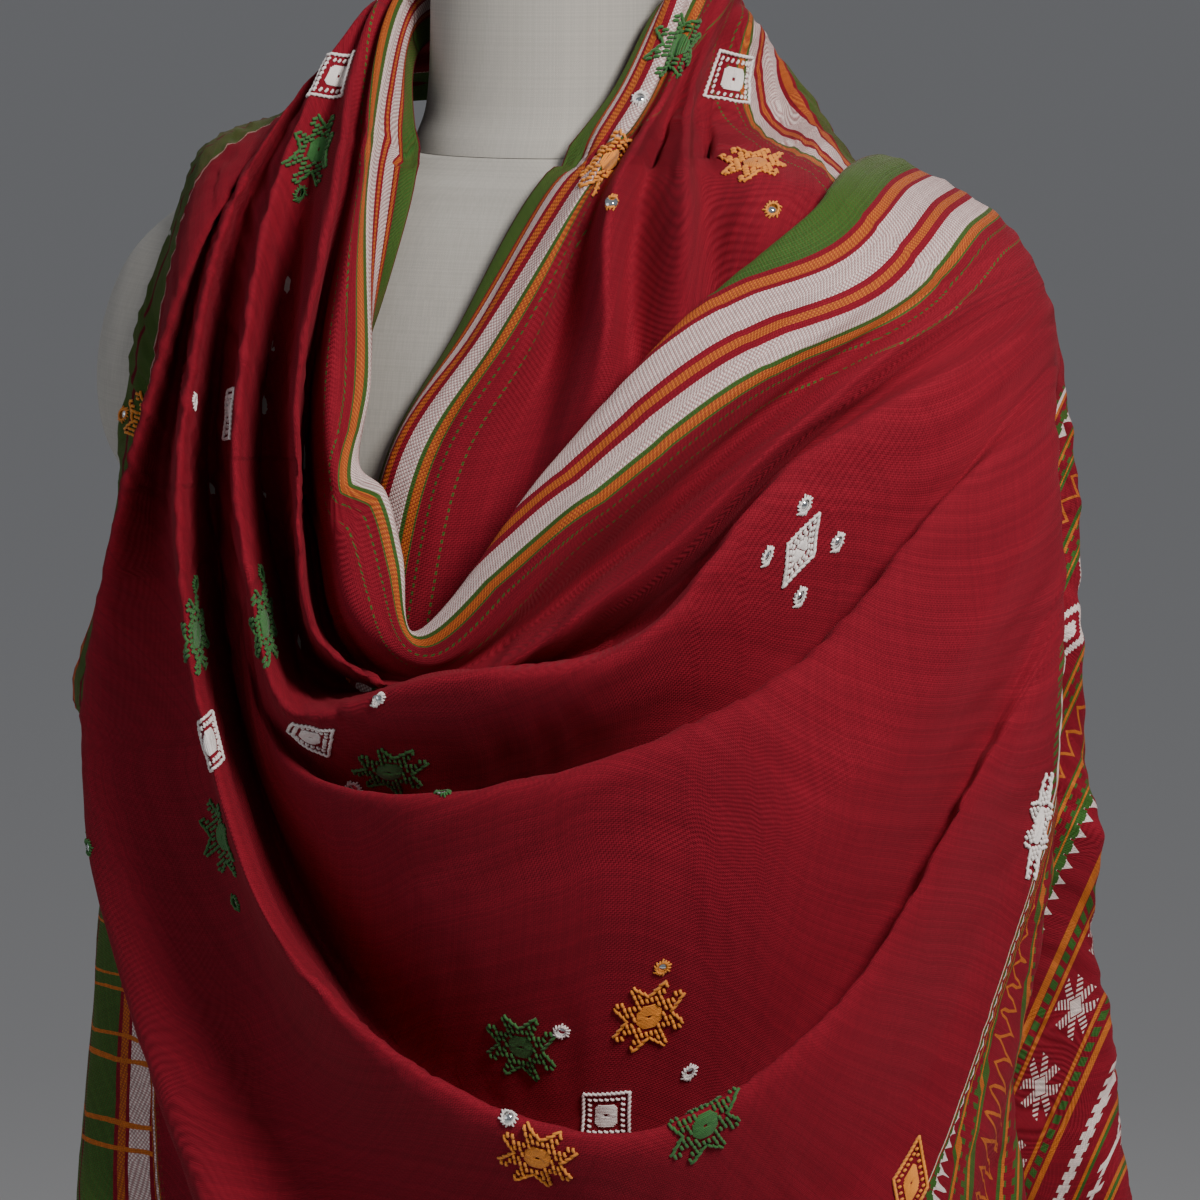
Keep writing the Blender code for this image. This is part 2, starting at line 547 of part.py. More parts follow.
def make_cloth(name, grid, collection, material):
    """A thin wall of cloth whose outer side is the grid."""
    columns, rows = grid.shape[:2]
    faces = []
    for c in range(columns - 1):
        for r in range(rows - 1):
            faces.append((c * rows + r, c * rows + r + 1, (c + 1) * rows + r + 1, (c + 1) * rows + r))
    vertices = grid.reshape(-1, 3) * CM + np.array((0.0, 0.0, SEAM_HEIGHT))
    item = make_object(name, vertices, faces, collection, material)
    wall = item.modifiers.new("wall", "SOLIDIFY")
    wall.thickness = CLOTH_WALL
    wall.offset = -1.0
    return item


def make_torso(collection, material):
    """The form's body, lofted through its unlike sections, with a flat top and underside."""
    vertices = []
    for height, half_width, front, back in FORM_SECTIONS:
        for side in range(FORM_SIDES):
            angle = 2 * pi * side / FORM_SIDES
            x, y = sin(angle), -cos(angle)
            depth = front if y < 0 else back
            level = (abs(x) ** SECTION_POWER + abs(y) ** SECTION_POWER) ** (-1 / SECTION_POWER)
            z = SEAM_HEIGHT + height * CM
            vertices.append((x * level * half_width * CM, y * level * depth * CM, z))
    faces = []
    for ring in range(len(FORM_SECTIONS) - 1):
        for side in range(FORM_SIDES):
            following = (side + 1) % FORM_SIDES
            upper, lower = ring * FORM_SIDES, (ring + 1) * FORM_SIDES
            faces.append((lower + side, lower + following, upper + following, upper + side))
    bottom = (len(FORM_SECTIONS) - 1) * FORM_SIDES
    faces.append(tuple(range(FORM_SIDES)))
    faces.append(tuple(bottom + side for side in reversed(range(FORM_SIDES))))
    torso = make_object("form_torso", vertices, faces, collection, material)
    torso.data.set_sharp_from_angle(angle=SHARP_ANGLE)
    return torso


def make_neck(collection, material):
    """The form's neck, turned, with a plain flat top."""
    profile = ((0.0, NECK_PROFILE[0][1]), *NECK_PROFILE, (0.0, NECK_PROFILE[-1][1]))
    mesh = bpy.data.meshes.new("form_neck")
    vertices = [(radius * CM, 0.0, height * CM) for radius, height in profile]
    mesh.from_pydata(vertices, [(i, i + 1) for i in range(len(profile) - 1)], [])
    mesh.materials.append(material)
    neck = bpy.data.objects.new("form_neck", mesh)
    neck.location = (0.0, 0.0, SEAM_HEIGHT)
    collection.objects.link(neck)
    screw = neck.modifiers.new("turned", "SCREW")
    screw.steps = screw.render_steps = FORM_SIDES
    screw.use_merge_vertices = True
    screw.merge_threshold = 0.00001
    screw.use_smooth_shade = True
    return neck


def make_cylinder(name, radius, bottom, top, sides, collection, material):
    bpy.ops.mesh.primitive_cylinder_add(
        vertices=sides, radius=radius, depth=top - bottom, location=(0.0, 0.0, (top + bottom) / 2))
    item = bpy.context.object
    item.name = item.data.name = name
    for owner in list(item.users_collection):
        owner.objects.unlink(item)
    collection.objects.link(item)
    item.data.materials.append(material)
    item.data.shade_smooth()
    item.data.set_sharp_from_angle(angle=SHARP_ANGLE)
    return item


def make_stand(collection, material):
    base = make_cylinder("stand_base", BASE_RADIUS, 0.0, BASE_THICKNESS, BASE_SIDES,
                         collection, material)
    bevel = base.modifiers.new("soft edge", "BEVEL")
    bevel.width = BASE_BEVEL
    bevel.segments = 2
    bevel.limit_method = "ANGLE"
    torso_bottom = SEAM_HEIGHT + FORM_SECTIONS[-1][0] * CM
    make_cylinder("stand_pole", POLE_RADIUS, BASE_THICKNESS + FACE_GAP, torso_bottom - FACE_GAP,
                  POLE_SIDES, collection, material)


def evaluated_geometry(item):
    graph = bpy.context.evaluated_depsgraph_get()
    evaluated = item.evaluated_get(graph)
    mesh = evaluated.to_mesh()
    vertices = [item.matrix_world @ vertex.co for vertex in mesh.vertices]
    faces = [tuple(face.vertices) for face in mesh.polygons]
    evaluated.to_mesh_clear()
    return vertices, faces


def smallest_gap(cloths, solids):
    smallest = 1.0
    for cloth_vertices, cloth_tree in cloths:
        for solid_vertices, solid_tree in solids:
            for vertex in cloth_vertices:
                smallest = min(smallest, solid_tree.find_nearest(vertex)[3])
            for vertex in solid_vertices:
                smallest = min(smallest, cloth_tree.find_nearest(vertex)[3])
    return smallest


def settle(cloth_items, solid_items):
    """Lower the whole shawl until it is one small gap off the form."""
    bpy.context.view_layer.update()
    solids = []
    for item in solid_items:
        vertices, faces = evaluated_geometry(item)
        solids.append((vertices, BVHTree.FromPolygons(vertices, faces)))
    drop = 0.0
    for _ in range(SETTLE_PASSES):
        cloths = []
        for item in cloth_items:
            vertices, faces = evaluated_geometry(item)
            cloths.append((vertices, BVHTree.FromPolygons(vertices, faces)))
        step = smallest_gap(cloths, solids) - REST_GAP
        if step < SETTLE_CLOSE:
            break
        drop += step
        for item in cloth_items:
            for vertex in item.data.vertices:
                vertex.co.z -= step
            item.data.update()
        bpy.context.view_layer.update()
    return drop


def main():
    clear_scene()
    collection = bpy.data.collections.new(COLLECTION_NAME)
    bpy.context.scene.collection.children.link(collection)
    wool = make_material("crimson wool", 0.85, 0.0)
    linen = make_material("form linen", 0.8, 0.0)
    steel = make_material("stand steel", 0.45, 1.0)

    make_stand(collection, steel)
    torso = make_torso(collection, linen)
    neck = make_neck(collection, linen)

    sections = shawl_sections()
    cloths = []
    for name, first, last, steps in STRETCHES:
        grid = shawl_grid(sections, guarded_places(first, last, steps))
        grid = trimmed(grid, start=first > 0, end=last < END_STATION)
        cloths.append(make_cloth(name, grid, collection, wool))
    drop = settle(cloths, [torso, neck])
    print("shawl lowered by %.2f mm" % (drop * 1000))


main()
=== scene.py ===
# Mirror work shawl draped on a limbless dress form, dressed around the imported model.
from math import cos, pi, radians, sin

import bpy
import numpy as np
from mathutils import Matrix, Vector
from mathutils.bvhtree import BVHTree


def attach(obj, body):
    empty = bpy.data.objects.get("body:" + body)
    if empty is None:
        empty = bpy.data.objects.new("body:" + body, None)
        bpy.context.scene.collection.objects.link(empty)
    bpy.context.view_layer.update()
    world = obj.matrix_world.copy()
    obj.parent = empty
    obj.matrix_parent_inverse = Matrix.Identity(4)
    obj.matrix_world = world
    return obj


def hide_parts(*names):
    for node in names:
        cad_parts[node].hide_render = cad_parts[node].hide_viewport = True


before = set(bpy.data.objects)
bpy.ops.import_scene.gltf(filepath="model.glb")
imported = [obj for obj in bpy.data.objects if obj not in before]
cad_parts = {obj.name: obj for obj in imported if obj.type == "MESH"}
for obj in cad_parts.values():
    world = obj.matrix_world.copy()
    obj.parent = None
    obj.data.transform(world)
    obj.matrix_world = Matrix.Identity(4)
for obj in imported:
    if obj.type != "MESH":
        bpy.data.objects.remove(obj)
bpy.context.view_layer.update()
print("packed model loaded")

# The drape is worked out in centimetres from the middle of the neck's base seam.
cm = 0.01
seamHeight = 1.40
view = {
    "turn": radians(21.0),      # towards the wearer's left
    "rise": radians(10.0),
    "distance": 200.0,
    "centre": (2.3, -19.3),     # cm across and up from the neck's base
    "halfFrame": 600 / 22,      # cm seen to each side of the centre
    "pixel": 1 / 22,            # cm
    "seam": (550, 176),         # pixel of the neck's base
    "searched": (168, 232),     # cm from the eye, where the drape is looked for
    "searchSteps": 1281,
}
viewRight = np.array((cos(view["turn"]), sin(view["turn"]), 0.0))
viewToward = np.array((sin(view["turn"]) * cos(view["rise"]), -cos(view["turn"]) * cos(view["rise"]),
                       sin(view["rise"])))
viewUp = np.cross(viewToward, viewRight)
viewTarget = viewRight * view["centre"][0] + viewUp * view["centre"][1]
viewEye = viewTarget + viewToward * view["distance"]


def toWorld(points):
    return np.asarray(points, float) * cm + np.array((0.0, 0.0, seamHeight))


def towards(degrees):
    # across and forward, at a turn round the form from its front
    return np.array((sin(radians(degrees)), -cos(radians(degrees))))


def placed(name, data):
    item = bpy.data.objects.new(name, data)
    bpy.context.collection.objects.link(item)
    return item


def makeCamera():
    data = bpy.data.cameras.new("camera")
    data.sensor_width = 36.0
    data.lens = data.sensor_width / 2 * view["distance"] / view["halfFrame"]
    data.clip_end = 200.0
    camera = placed("camera", data)
    camera.location = Vector(toWorld(viewEye))
    camera.rotation_euler = Vector(viewToward).to_track_quat("Z", "Y").to_euler()
    bpy.context.scene.camera = camera


makeCamera()
print("camera placed")


# an output of a node, which sums and products take as if it were a number
class Link:
    def __init__(self, tree, socket):
        self.tree = tree
        self.socket = socket

    def node(self, kind, settings=None, inputs=None, output=0):
        node = self.tree.nodes.new(kind)
        for name, value in (settings or {}).items():
            if name == "stops":
                setStops(node.color_ramp, value)
            else:
                setattr(node, name, value)
        for name, value in (inputs or {}).items():
            if isinstance(value, Link):
                self.tree.links.new(value.socket, node.inputs[name])
            else:
                node.inputs[name].default_value = value
        return Link(self.tree, node.outputs[output])

    def output(self, place):
        return Link(self.tree, self.socket.node.outputs[place])

    def calculate(self, operation, *values):
        return self.node("ShaderNodeMath", {"operation": operation}, dict(enumerate(values)))

    def math(self, operation, *others):
        return self.calculate(operation, self, *others)

    def __add__(self, other):
        return self.math("ADD", other)

    def __radd__(self, other):
        return self.calculate("ADD", other, self)

    def __sub__(self, other):
        return self.math("SUBTRACT", other)

    def __rsub__(self, other):
        return self.calculate("SUBTRACT", other, self)

    def __mul__(self, other):
        return self.math("MULTIPLY", other)

    def __rmul__(self, other):
        return self.calculate("MULTIPLY", other, self)

    def __truediv__(self, other):
        return self.math("DIVIDE", other)

    def __lt__(self, other):
        return self.math("LESS_THAN", other)

    def __gt__(self, other):
        return self.math("GREATER_THAN", other)


def setStops(ramp, stops):
    # (place, colour) pairs from 0 to 1
    while len(ramp.elements) > 1:
        ramp.elements.remove(ramp.elements[-1])
    for i, (place, colour) in enumerate(stops):
        stop = ramp.elements[0] if i == 0 else ramp.elements.new(place)
        stop.position = place
        stop.color = (*colour, 1.0)


def newMaterial(name, **sockets):
    # a material with its Principled shader's plain values set, and a Link to build on
    material = bpy.data.materials.new(name)
    material.use_nodes = True
    tree = material.node_tree
    shader = tree.nodes["Principled BSDF"]
    for socket, value in sockets.items():
        shader.inputs[socket.replace("_", " ")].default_value = value
    return material, Link(tree, None)


def wire(start, **sockets):
    shader = start.tree.nodes["Principled BSDF"]
    for socket, value in sockets.items():
        start.tree.links.new(value.socket, shader.inputs[socket.replace("_", " ")])


def mixed(factor, first, second):
    start = next(value for value in (factor, first, second) if isinstance(value, Link))
    inputs = {0: factor}
    for place, value in ((6, first), (7, second)):
        inputs[place] = value if isinstance(value, Link) else (*value, 1.0)
    return start.node("ShaderNodeMix", {"data_type": "RGBA"}, inputs, 2)


def between(value, low, high):
    return (value > low) * (value < high)


def repeated(value, period):
    # place in a repeat, from minus half a period to plus half
    return ((value / period).math("FRACT") - 0.5) * period


def mapOf(start, name):
    # both lengths of one of the piece's maps
    split = start.node("ShaderNodeSeparateXYZ", None, {0: start.node("ShaderNodeUVMap", {"uv_map": name})})
    return split, split.output(1)


def noise(start, scale, detail):
    place = start.node("ShaderNodeTexCoord", output=3)      # Object coordinates
    return start.node("ShaderNodeTexNoise", None, {"Vector": place, "Scale": scale, "Detail": detail})


def toneOf(start, number):
    # a shade of its own for each numbered thread
    return start.node("ShaderNodeTexWhiteNoise", {"noise_dimensions": "1D"}, {"W": number})


def shaded(start, colour, shade):
    return start.node("ShaderNodeVectorMath", {"operation": "SCALE"}, {0: colour, "Scale": shade})


def bumped(start, height, strength):
    return start.node("ShaderNodeBump", None, {"Height": height, "Distance": 1.0, "Strength": strength})


def plainWeave(warp, weft):
    # the threads' height, where the warp lies on top, and the number of each thread
    warpNumber, weftNumber = warp.math("FLOOR"), weft.math("FLOOR")
    warpOver = (warpNumber + weftNumber).math("MODULO", 2.0).math("ABSOLUTE")
    warpRound, weftRound = ((value.math("FRACT") * pi).math("SINE") for value in (warp, weft))
    return warpOver * warpRound + (1 - warpOver) * weftRound, warpOver, warpNumber, weftNumber


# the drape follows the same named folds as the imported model
drape = {
    "settled": 0.0011,          # metres that the whole shawl is lowered on to the form
    "wall": 0.0008,
    "rows": 176,                # steps across the shawl
    "foldRadius": 0.13,         # cm
    "hiddenEnd": 6.0,           # cm that the gathered end goes on down behind the swags
    "hiddenFolds": 7.5,         # of its folds, from the selvedge
    "deepen": ((0, 0.4), (10, 0.2), (12, 0.75), (15, 0.75), (17, 0.6), (18.3, 0.55), (19.5, 0.15),
               (21, 0.0)),      # share of each fold's depth that is added, by station
    "deepenReach": 9,           # rows
    "roundingPasses": 60,
    "clear": 0.0014,            # metres between the cloth and the form
    "clearSearch": 0.03,
    "clearPasses": 2,
    "clearBlur": 6,
    "tailSections": 8,
    "tailPathSteps": 8,
    "sideLift": 2.0,
    "flareTop": -11.0,          # cm, below this the tail stands out further at the side
    "flareSlope": 0.088,
    "flareTurns": (130.0, 190.0),
    "power": 2.2,
}
drapeSections = (               # height, half width, depth in front and behind, in cm
    (14.0, 6.2, 6.2, 6.2),
    (8.0, 6.3, 6.3, 6.3),
    (4.0, 6.6, 6.6, 6.8),
    (2.0, 8.0, 7.2, 7.4),
    (0.8, 12.4, 7.8, 8.2),
    (-0.4, 17.0, 8.2, 8.8),
    (-2.0, 19.6, 8.8, 9.4),
    (-4.2, 21.6, 9.5, 10.0),
    (-7.2, 23.0, 10.4, 10.6),
    (-10.5, 23.2, 11.2, 11.0),
    (-14.0, 23.0, 11.8, 11.2),
    (-20.0, 22.6, 12.4, 11.0),
    (-35.0, 22.2, 12.6, 10.8),
    (-50.0, 22.2, 12.8, 12.0),
    (-80.0, 23.0, 13.2, 13.4),
)
frontFolds = {
    "selvedge": (
        (-5.6, -2.1, 5.6), (-6.1, -0.2, 0.0), (-8.7, -9.3, 0.3), (-9.4, -13.4, 0.6),
        (-9.0, -15.6, 0.9), (-7.8, -18.4, 1.2), (-5.7, -21.5, 0.9), (1.8, -13.7, 1.4),
        (7.3, -7.4, 1.9), (11.7, -2.2, 2.5), (13.4, 0.4, -1.3), (13.4, 7.2, 0.4),
    ),
    "neckline": (
        (-5.9, -2.3, 7.9), (-7.9, -0.2, 0.9), (-8.5, -9.3, 1.3), (-8.9, -13.2, 1.8),
        (-8.0, -14.7, 2.2), (-7.1, -17.7, 2.2), (-6.1, -20.9, 2.2), (0.5, -13.3, 2.8),
        (6.4, -6.5, 3.0), (11.5, -1.7, 3.0), (13.9, 0.6, -1.2), (14.2, 6.8, 0.4),
    ),
    "border": (
        (-6.4, -2.5, 8.2), (-8.7, -0.6, 1.6), (-9.9, -9.3, 2.2), (-9.9, -13.6, 2.4),
        (-9.6, -16.1, 2.6), (-8.7, -19.6, 2.8), (-5.5, -22.0, 2.5), (2.3, -15.0, 3.4),
        (8.6, -9.6, 3.2), (15.0, -5.2, 2.6), (19.5, -2.3, -0.3), (19.2, 5.2, -1.4),
    ),
    "valley4": (
        (-6.7, -2.4, 7.7), (-9.2, -0.9, 0.5), (-10.9, -9.3, 0.0), (-11.0, -13.6, -0.4),
        (-10.8, -16.1, -0.2), (-9.6, -21.2, 0.6), (-5.3, -22.7, 1.8), (2.3, -17.7, 1.6),
        (9.5, -11.1, 1.9), (16.1, -6.1, 1.8), (20.7, -3.5, 0.0), (20.6, 5.0, -2.6),
    ),
    "ridge4": (
        (-7.3, -2.7, 7.9), (-9.9, -0.9, 1.9), (-11.5, -9.3, 2.8), (-11.5, -13.6, 3.0),
        (-11.4, -16.5, 3.2), (-10.4, -21.1, 3.0), (-5.4, -23.3, 2.4), (3.2, -18.7, 2.9),
        (10.5, -12.0, 3.0), (16.8, -7.0, 2.4), (21.5, -4.4, 0.2), (21.6, 4.8, -4.0),
    ),
    "valley3": (
        (-7.5, -2.6, 7.3), (-11.1, -0.6, 0.5), (-12.5, -9.3, -0.6), (-12.5, -13.6, -0.8),
        (-12.1, -17.0, -0.8), (-10.8, -22.4, -0.4), (-5.5, -23.3, 0.0), (4.1, -20.4, 0.8),
        (10.5, -13.6, 1.6), (17.0, -8.4, 1.6), (22.1, -5.5, 0.3), (22.3, 4.6, -5.4),
    ),
    "ridge3": (
        (-8.1, -2.9, 7.3), (-12.4, -0.6, 1.8), (-13.9, -9.3, 2.6), (-14.1, -13.6, 3.0),
        (-13.5, -17.9, 3.2), (-11.8, -24.0, 3.1), (-5.5, -23.5, 4.4), (3.6, -21.8, 4.4),
        (11.1, -13.6, 3.2), (17.5, -9.3, 2.4), (22.6, -6.8, 0.2), (22.8, 4.4, -7.0),
    ),
    "under3": (
        (-8.3, -2.7, 6.9), (-12.7, -0.7, 1.4), (-14.3, -9.3, 1.2), (-14.5, -13.6, 1.4),
        (-14.0, -19.3, 1.6), (-12.2, -25.2, 1.7), (-7.0, -28.4, 1.5), (3.2, -26.6, 1.4),
        (11.4, -21.8, 2.2), (18.0, -14.3, 2.0), (22.8, -8.6, -0.2), (22.8, 4.0, -9.5),
    ),
    "swag3": (
        (-8.5, -2.8, 6.6), (-13.0, -0.8, 0.9), (-14.6, -9.4, 0.5), (-14.8, -13.8, 0.5),
        (-14.3, -20.2, 0.9), (-12.2, -26.4, 2.2), (-6.8, -28.7, 4.6), (3.2, -27.0, 5.0),
        (11.4, -22.5, 4.4), (18.0, -14.8, 3.2), (23.0, -10.6, -0.6), (22.0, 3.6, -12.6),
    ),
    "face3": (
        (-8.7, -2.7, 6.2), (-13.3, -0.9, 0.5), (-14.9, -9.6, 0.0), (-15.0, -14.2, -0.2),
        (-14.5, -21.1, 0.0), (-12.2, -28.4, 1.0), (-5.9, -32.9, 3.4), (4.1, -32.0, 4.4),
        (12.0, -28.8, 4.6), (18.9, -21.1, 3.0), (23.2, -13.8, -1.0), (20.6, 3.2, -17.0),
    ),
    "valley2": (
        (-8.8, -2.6, 5.8), (-13.7, -1.0, 0.2), (-15.3, -9.9, -0.4), (-15.4, -14.7, -0.7),
        (-14.5, -22.9, -0.8), (-11.3, -33.1, -0.6), (-5.0, -41.2, 0.2), (4.1, -43.5, 1.8),
        (12.8, -37.5, 2.8), (19.8, -25.6, 2.2), (23.4, -17.5, -1.4), (19.0, 3.0, -21.5),
    ),
    "ridge2": (
        (-9.4, -2.8, 5.5), (-14.4, -1.2, 1.4), (-16.4, -9.8, 2.3), (-16.8, -15.2, 2.8),
        (-15.7, -24.7, 3.0), (-12.6, -34.0, 3.4), (-5.5, -42.0, 4.8), (4.1, -44.4, 5.4),
        (12.8, -38.5, 4.6), (20.0, -26.5, 3.0), (23.4, -21.5, -1.8), (17.9, 3.0, -26.5),
    ),
    "valley1": (
        (-9.4, -2.4, 4.9), (-15.0, -1.5, 0.6), (-17.1, -9.8, 0.4), (-17.8, -15.2, 0.2),
        (-16.5, -24.7, 0.2), (-14.9, -33.1, 0.4), (-8.4, -49.3, 1.0), (4.1, -52.9, 2.0),
        (14.1, -45.6, 2.6), (20.5, -32.9, 2.4), (23.2, -25.6, -2.2), (17.0, 3.0, -32.0),
    ),
    "ridge1": (
        (-9.9, -2.4, 4.4), (-15.5, -2.1, 1.3), (-18.1, -9.8, 2.0), (-19.3, -15.2, 1.4),
        (-20.2, -24.7, 0.8), (-19.1, -34.3, 1.4), (-10.0, -55.6, 3.8), (4.1, -60.2, 5.0),
        (15.0, -52.9, 4.2), (20.9, -39.7, 3.0), (22.7, -30.6, -2.4), (16.5, 3.0, -38.0),
    ),
}
lowerFolds = {
    "valley0": (
        (-10.0, -1.7, 3.8), (-14.6, -6.3, -0.5), (-16.3, -8.3, -8.6), (-17.4, -7.2, -14.2),
        (-18.4, -4.4, -24.6), (-17.2, -6.4, -35.2), (-6.5, -14.2, -59.5), (8.5, -14.6, -62.0),
        (18.6, -11.2, -56.0), (22.6, -5.2, -45.5), (23.0, -2.2, -38.5), (16.8, 3.0, -45.0),
    ),
    "ridge0": (
        (-10.7, -1.0, 3.3), (-15.7, -3.6, 0.8), (-17.9, -7.4, -7.6), (-19.0, -6.4, -13.6),
        (-20.6, -3.4, -24.0), (-20.2, -3.6, -36.5), (-9.5, -16.4, -64.5), (7.0, -17.6, -67.5),
        (18.4, -13.4, -62.5), (23.6, -6.2, -53.0), (24.0, -2.6, -46.0), (17.4, 3.2, -52.0),
    ),
    "lowerEdge": (
        (-11.1, 0.0, 2.6), (-16.4, -1.2, 1.4), (-18.6, -6.6, -6.6), (-20.0, -5.2, -14.0),
        (-22.3, -1.5, -25.5), (-21.4, -0.8, -38.0), (-13.0, -14.6, -69.0), (5.0, -16.4, -73.5),
        (18.0, -12.4, -70.0), (23.4, -5.4, -62.0), (23.8, -2.0, -54.5), (18.5, 3.4, -58.0),
    ),
}
neckFolds = {
    "selvedge": (
        (5.9, -1.7, 8.0), (2.8, 3.9, 0.0), (-1.1, -1.1, -0.1),
        (-4.3, -7.0, -0.1), (-7.4, -12.4, -0.1), (-9.3, -15.6, -0.2),
    ),
    "roll": (
        (6.6, -1.5, 8.8), (3.6, 3.9, 1.0), (0.5, -1.1, 0.9),
        (-3.1, -7.0, 0.9), (-6.9, -12.5, 0.7), (-9.1, -16.8, 0.3),
    ),
    "face1": (
        (7.2, -1.0, 9.0), (4.5, 3.7, 1.8), (1.3, -1.1, 1.5),
        (-1.3, -7.2, 1.5), (-4.3, -13.0, 0.9), (-6.8, -17.9, 0.3),
    ),
    "valley1": (
        (7.5, -0.5, 8.9), (4.8, 3.7, 1.3), (2.0, -1.1, 0.4),
        (0.5, -7.0, 0.0), (-0.9, -12.5, 0.0), (-2.5, -17.9, -0.1),
    ),
    "ridge1": (
        (7.8, 0.0, 8.7), (5.2, 3.7, 2.2), (2.8, -1.1, 2.3),
        (2.5, -7.0, 2.0), (1.8, -11.3, 1.2), (1.1, -17.5, 0.3),
    ),
    "valley2": (
        (8.0, 0.5, 8.4), (5.8, 3.7, 1.3), (4.2, -1.1, 0.2),
        (3.8, -7.0, 0.3), (4.3, -11.5, 0.2), (5.0, -17.5, 0.0),
    ),
    "ridge2": (
        (8.3, 0.9, 8.2), (6.4, 3.7, 2.0), (6.2, -1.3, 2.0),
        (6.1, -6.5, 1.0), (7.0, -11.1, 0.6), (8.2, -16.5, 0.2),
    ),
    "valley3": (
        (8.4, 1.6, 7.7), (7.0, 3.7, 0.8), (7.1, -1.3, 0.4),
        (7.8, -6.1, 0.1), (9.1, -10.2, 0.0), (10.9, -14.7, 0.0),
    ),
    "face2": (
        (8.8, 2.5, 7.1), (8.5, 3.5, 1.8), (9.6, -1.1, 1.3),
        (10.2, -5.2, 0.4), (12.0, -8.8, 0.2), (14.1, -12.5, 0.0),
    ),
    "border": (
        (8.7, 4.8, 6.4), (10.4, 3.5, 1.6), (11.9, -0.6, 1.4),
        (13.4, -3.4, 0.4), (15.0, -6.1, 0.1), (17.3, -9.3, 0.0),
    ),
    "outerEdge": (
        (8.8, 6.2, 5.5), (11.4, 3.7, 0.8), (14.0, 0.1, 0.4),
        (15.9, -1.8, 0.1), (17.7, -4.3, 0.0), (19.8, -7.0, -0.1),
    ),
}
neckBackRow = (
    (9.4, 7.4, 4.2), (11.8, 5.7, 1.9), (14.4, 3.6, -0.2),
    (16.6, 2.4, -1.0), (18.8, 1.0, -1.6), (20.6, -0.4, -3.1),
)
napeProfile = (
    (6.1, 6.6), (6.4, 8.8), (7.0, 9.2), (7.5, 8.9), (8.1, 8.9), (8.4, 8.4),
    (8.9, 8.2), (9.2, 7.8), (9.5, 7.5), (9.7, 7.1), (9.9, 6.7), (10.4, 6.3),
    (10.5, 5.7), (11.0, 5.2), (11.1, 4.5), (11.5, 3.8), (11.7, 2.9),
)
napeTurns = (150.0, 180.0, 208.0, 235.0)
tailFolds = (
    {"row": 0, "lift": 0.8,
     "path": ((128, -1.5), (152, -8), (185, -18), (215, -27), (240, -34), (262, -47), (268, -63))},
    {"row": 2, "lift": 2.4,
     "path": ((116, -4), (145, -13), (178, -25), (205, -35), (228, -45), (244, -62))},
    {"row": 3, "lift": 0.7,
     "path": ((111, -5.5), (140, -16.5), (170, -30), (195, -41), (215, -51), (227, -61))},
    {"row": 4, "lift": 2.6, "path": ((108, -7.5), (135, -20), (162, -35), (184, -46), (202, -59.5))},
    {"row": 5, "lift": 0.7, "path": ((106, -9.5), (131, -24), (153, -38.5), (170, -49.5), (184, -58))},
    {"row": 6, "lift": 2.6, "path": ((104, -12), (126, -26), (145, -41), (161, -56))},
    {"row": 8, "lift": 0.8, "path": ((103, -17), (121, -29), (136, -41.5), (147, -54))},
    {"row": 9, "lift": 2.4, "path": ((102, -21.5), (117, -32.5), (127, -43.5), (135, -53))},
    {"row": 11, "lift": 1.2, "path": ((101, -29), (112, -37.5), (119, -45), (124, -52))},
    {"row": 13, "lift": 2.4, "path": ((101, -38), (107, -42.5), (112, -47), (115, -51.5))},
    {"row": 14, "lift": 2.2, "path": ((100, -44.8), (104, -48), (107, -52.5))},
    {"row": 16, "lift": 1.0, "path": ((98, -57.5), (104, -59), (109, -60))},
)
gatheredStations = 6
frontStations = 12
napeStart = gatheredStations - 1
frontStart = napeStart + 2 + len(napeTurns)
tailStart = frontStart + frontStations - 1
endStation = tailStart + drape["tailSections"]


def sectionAt(height):
    table = np.array(drapeSections[::-1])
    return tuple(np.interp(height, table[:, 0], table[:, column]) for column in (1, 2, 3))


def drapeLevel(points, lift):
    halfWidth, front, back = sectionAt(points[..., 2])
    depth = np.where(points[..., 1] < 0, front, back)
    sides = np.abs(points[..., 0]) / (halfWidth + lift)
    along = np.abs(points[..., 1]) / (depth + lift)
    return (sides ** drape["power"] + along ** drape["power"]) ** (1 / drape["power"])


def seenPoint(sideways, height, lift):
    # the point of the lifted drape surface that the camera sees at one place
    ray = viewRight * sideways + viewUp * height - viewEye
    ray /= np.linalg.norm(ray)
    distances = np.linspace(*view["searched"], view["searchSteps"])
    points = viewEye + distances[:, None] * ray
    levels = drapeLevel(points, lift)
    if levels.min() >= 1.0:
        return points[levels.argmin()]
    return points[(levels < 1.0).argmax()]


def seenAtDepth(sideways, height, y):
    onPlane = viewRight * sideways + viewUp * height
    return viewEye + (onPlane - viewEye) * (y - viewEye[1]) / (onPlane[1] - viewEye[1])


def formPoint(degrees, height, lift):
    direction = towards(degrees)
    halfWidth, front, back = sectionAt(height)
    depth = front if direction[1] < 0 else back
    level = (abs(direction[0]) / (halfWidth + lift)) ** drape["power"]
    level += (abs(direction[1]) / (depth + lift)) ** drape["power"]
    x, y = direction * level ** (-1 / drape["power"])
    return np.array((x, y, height))


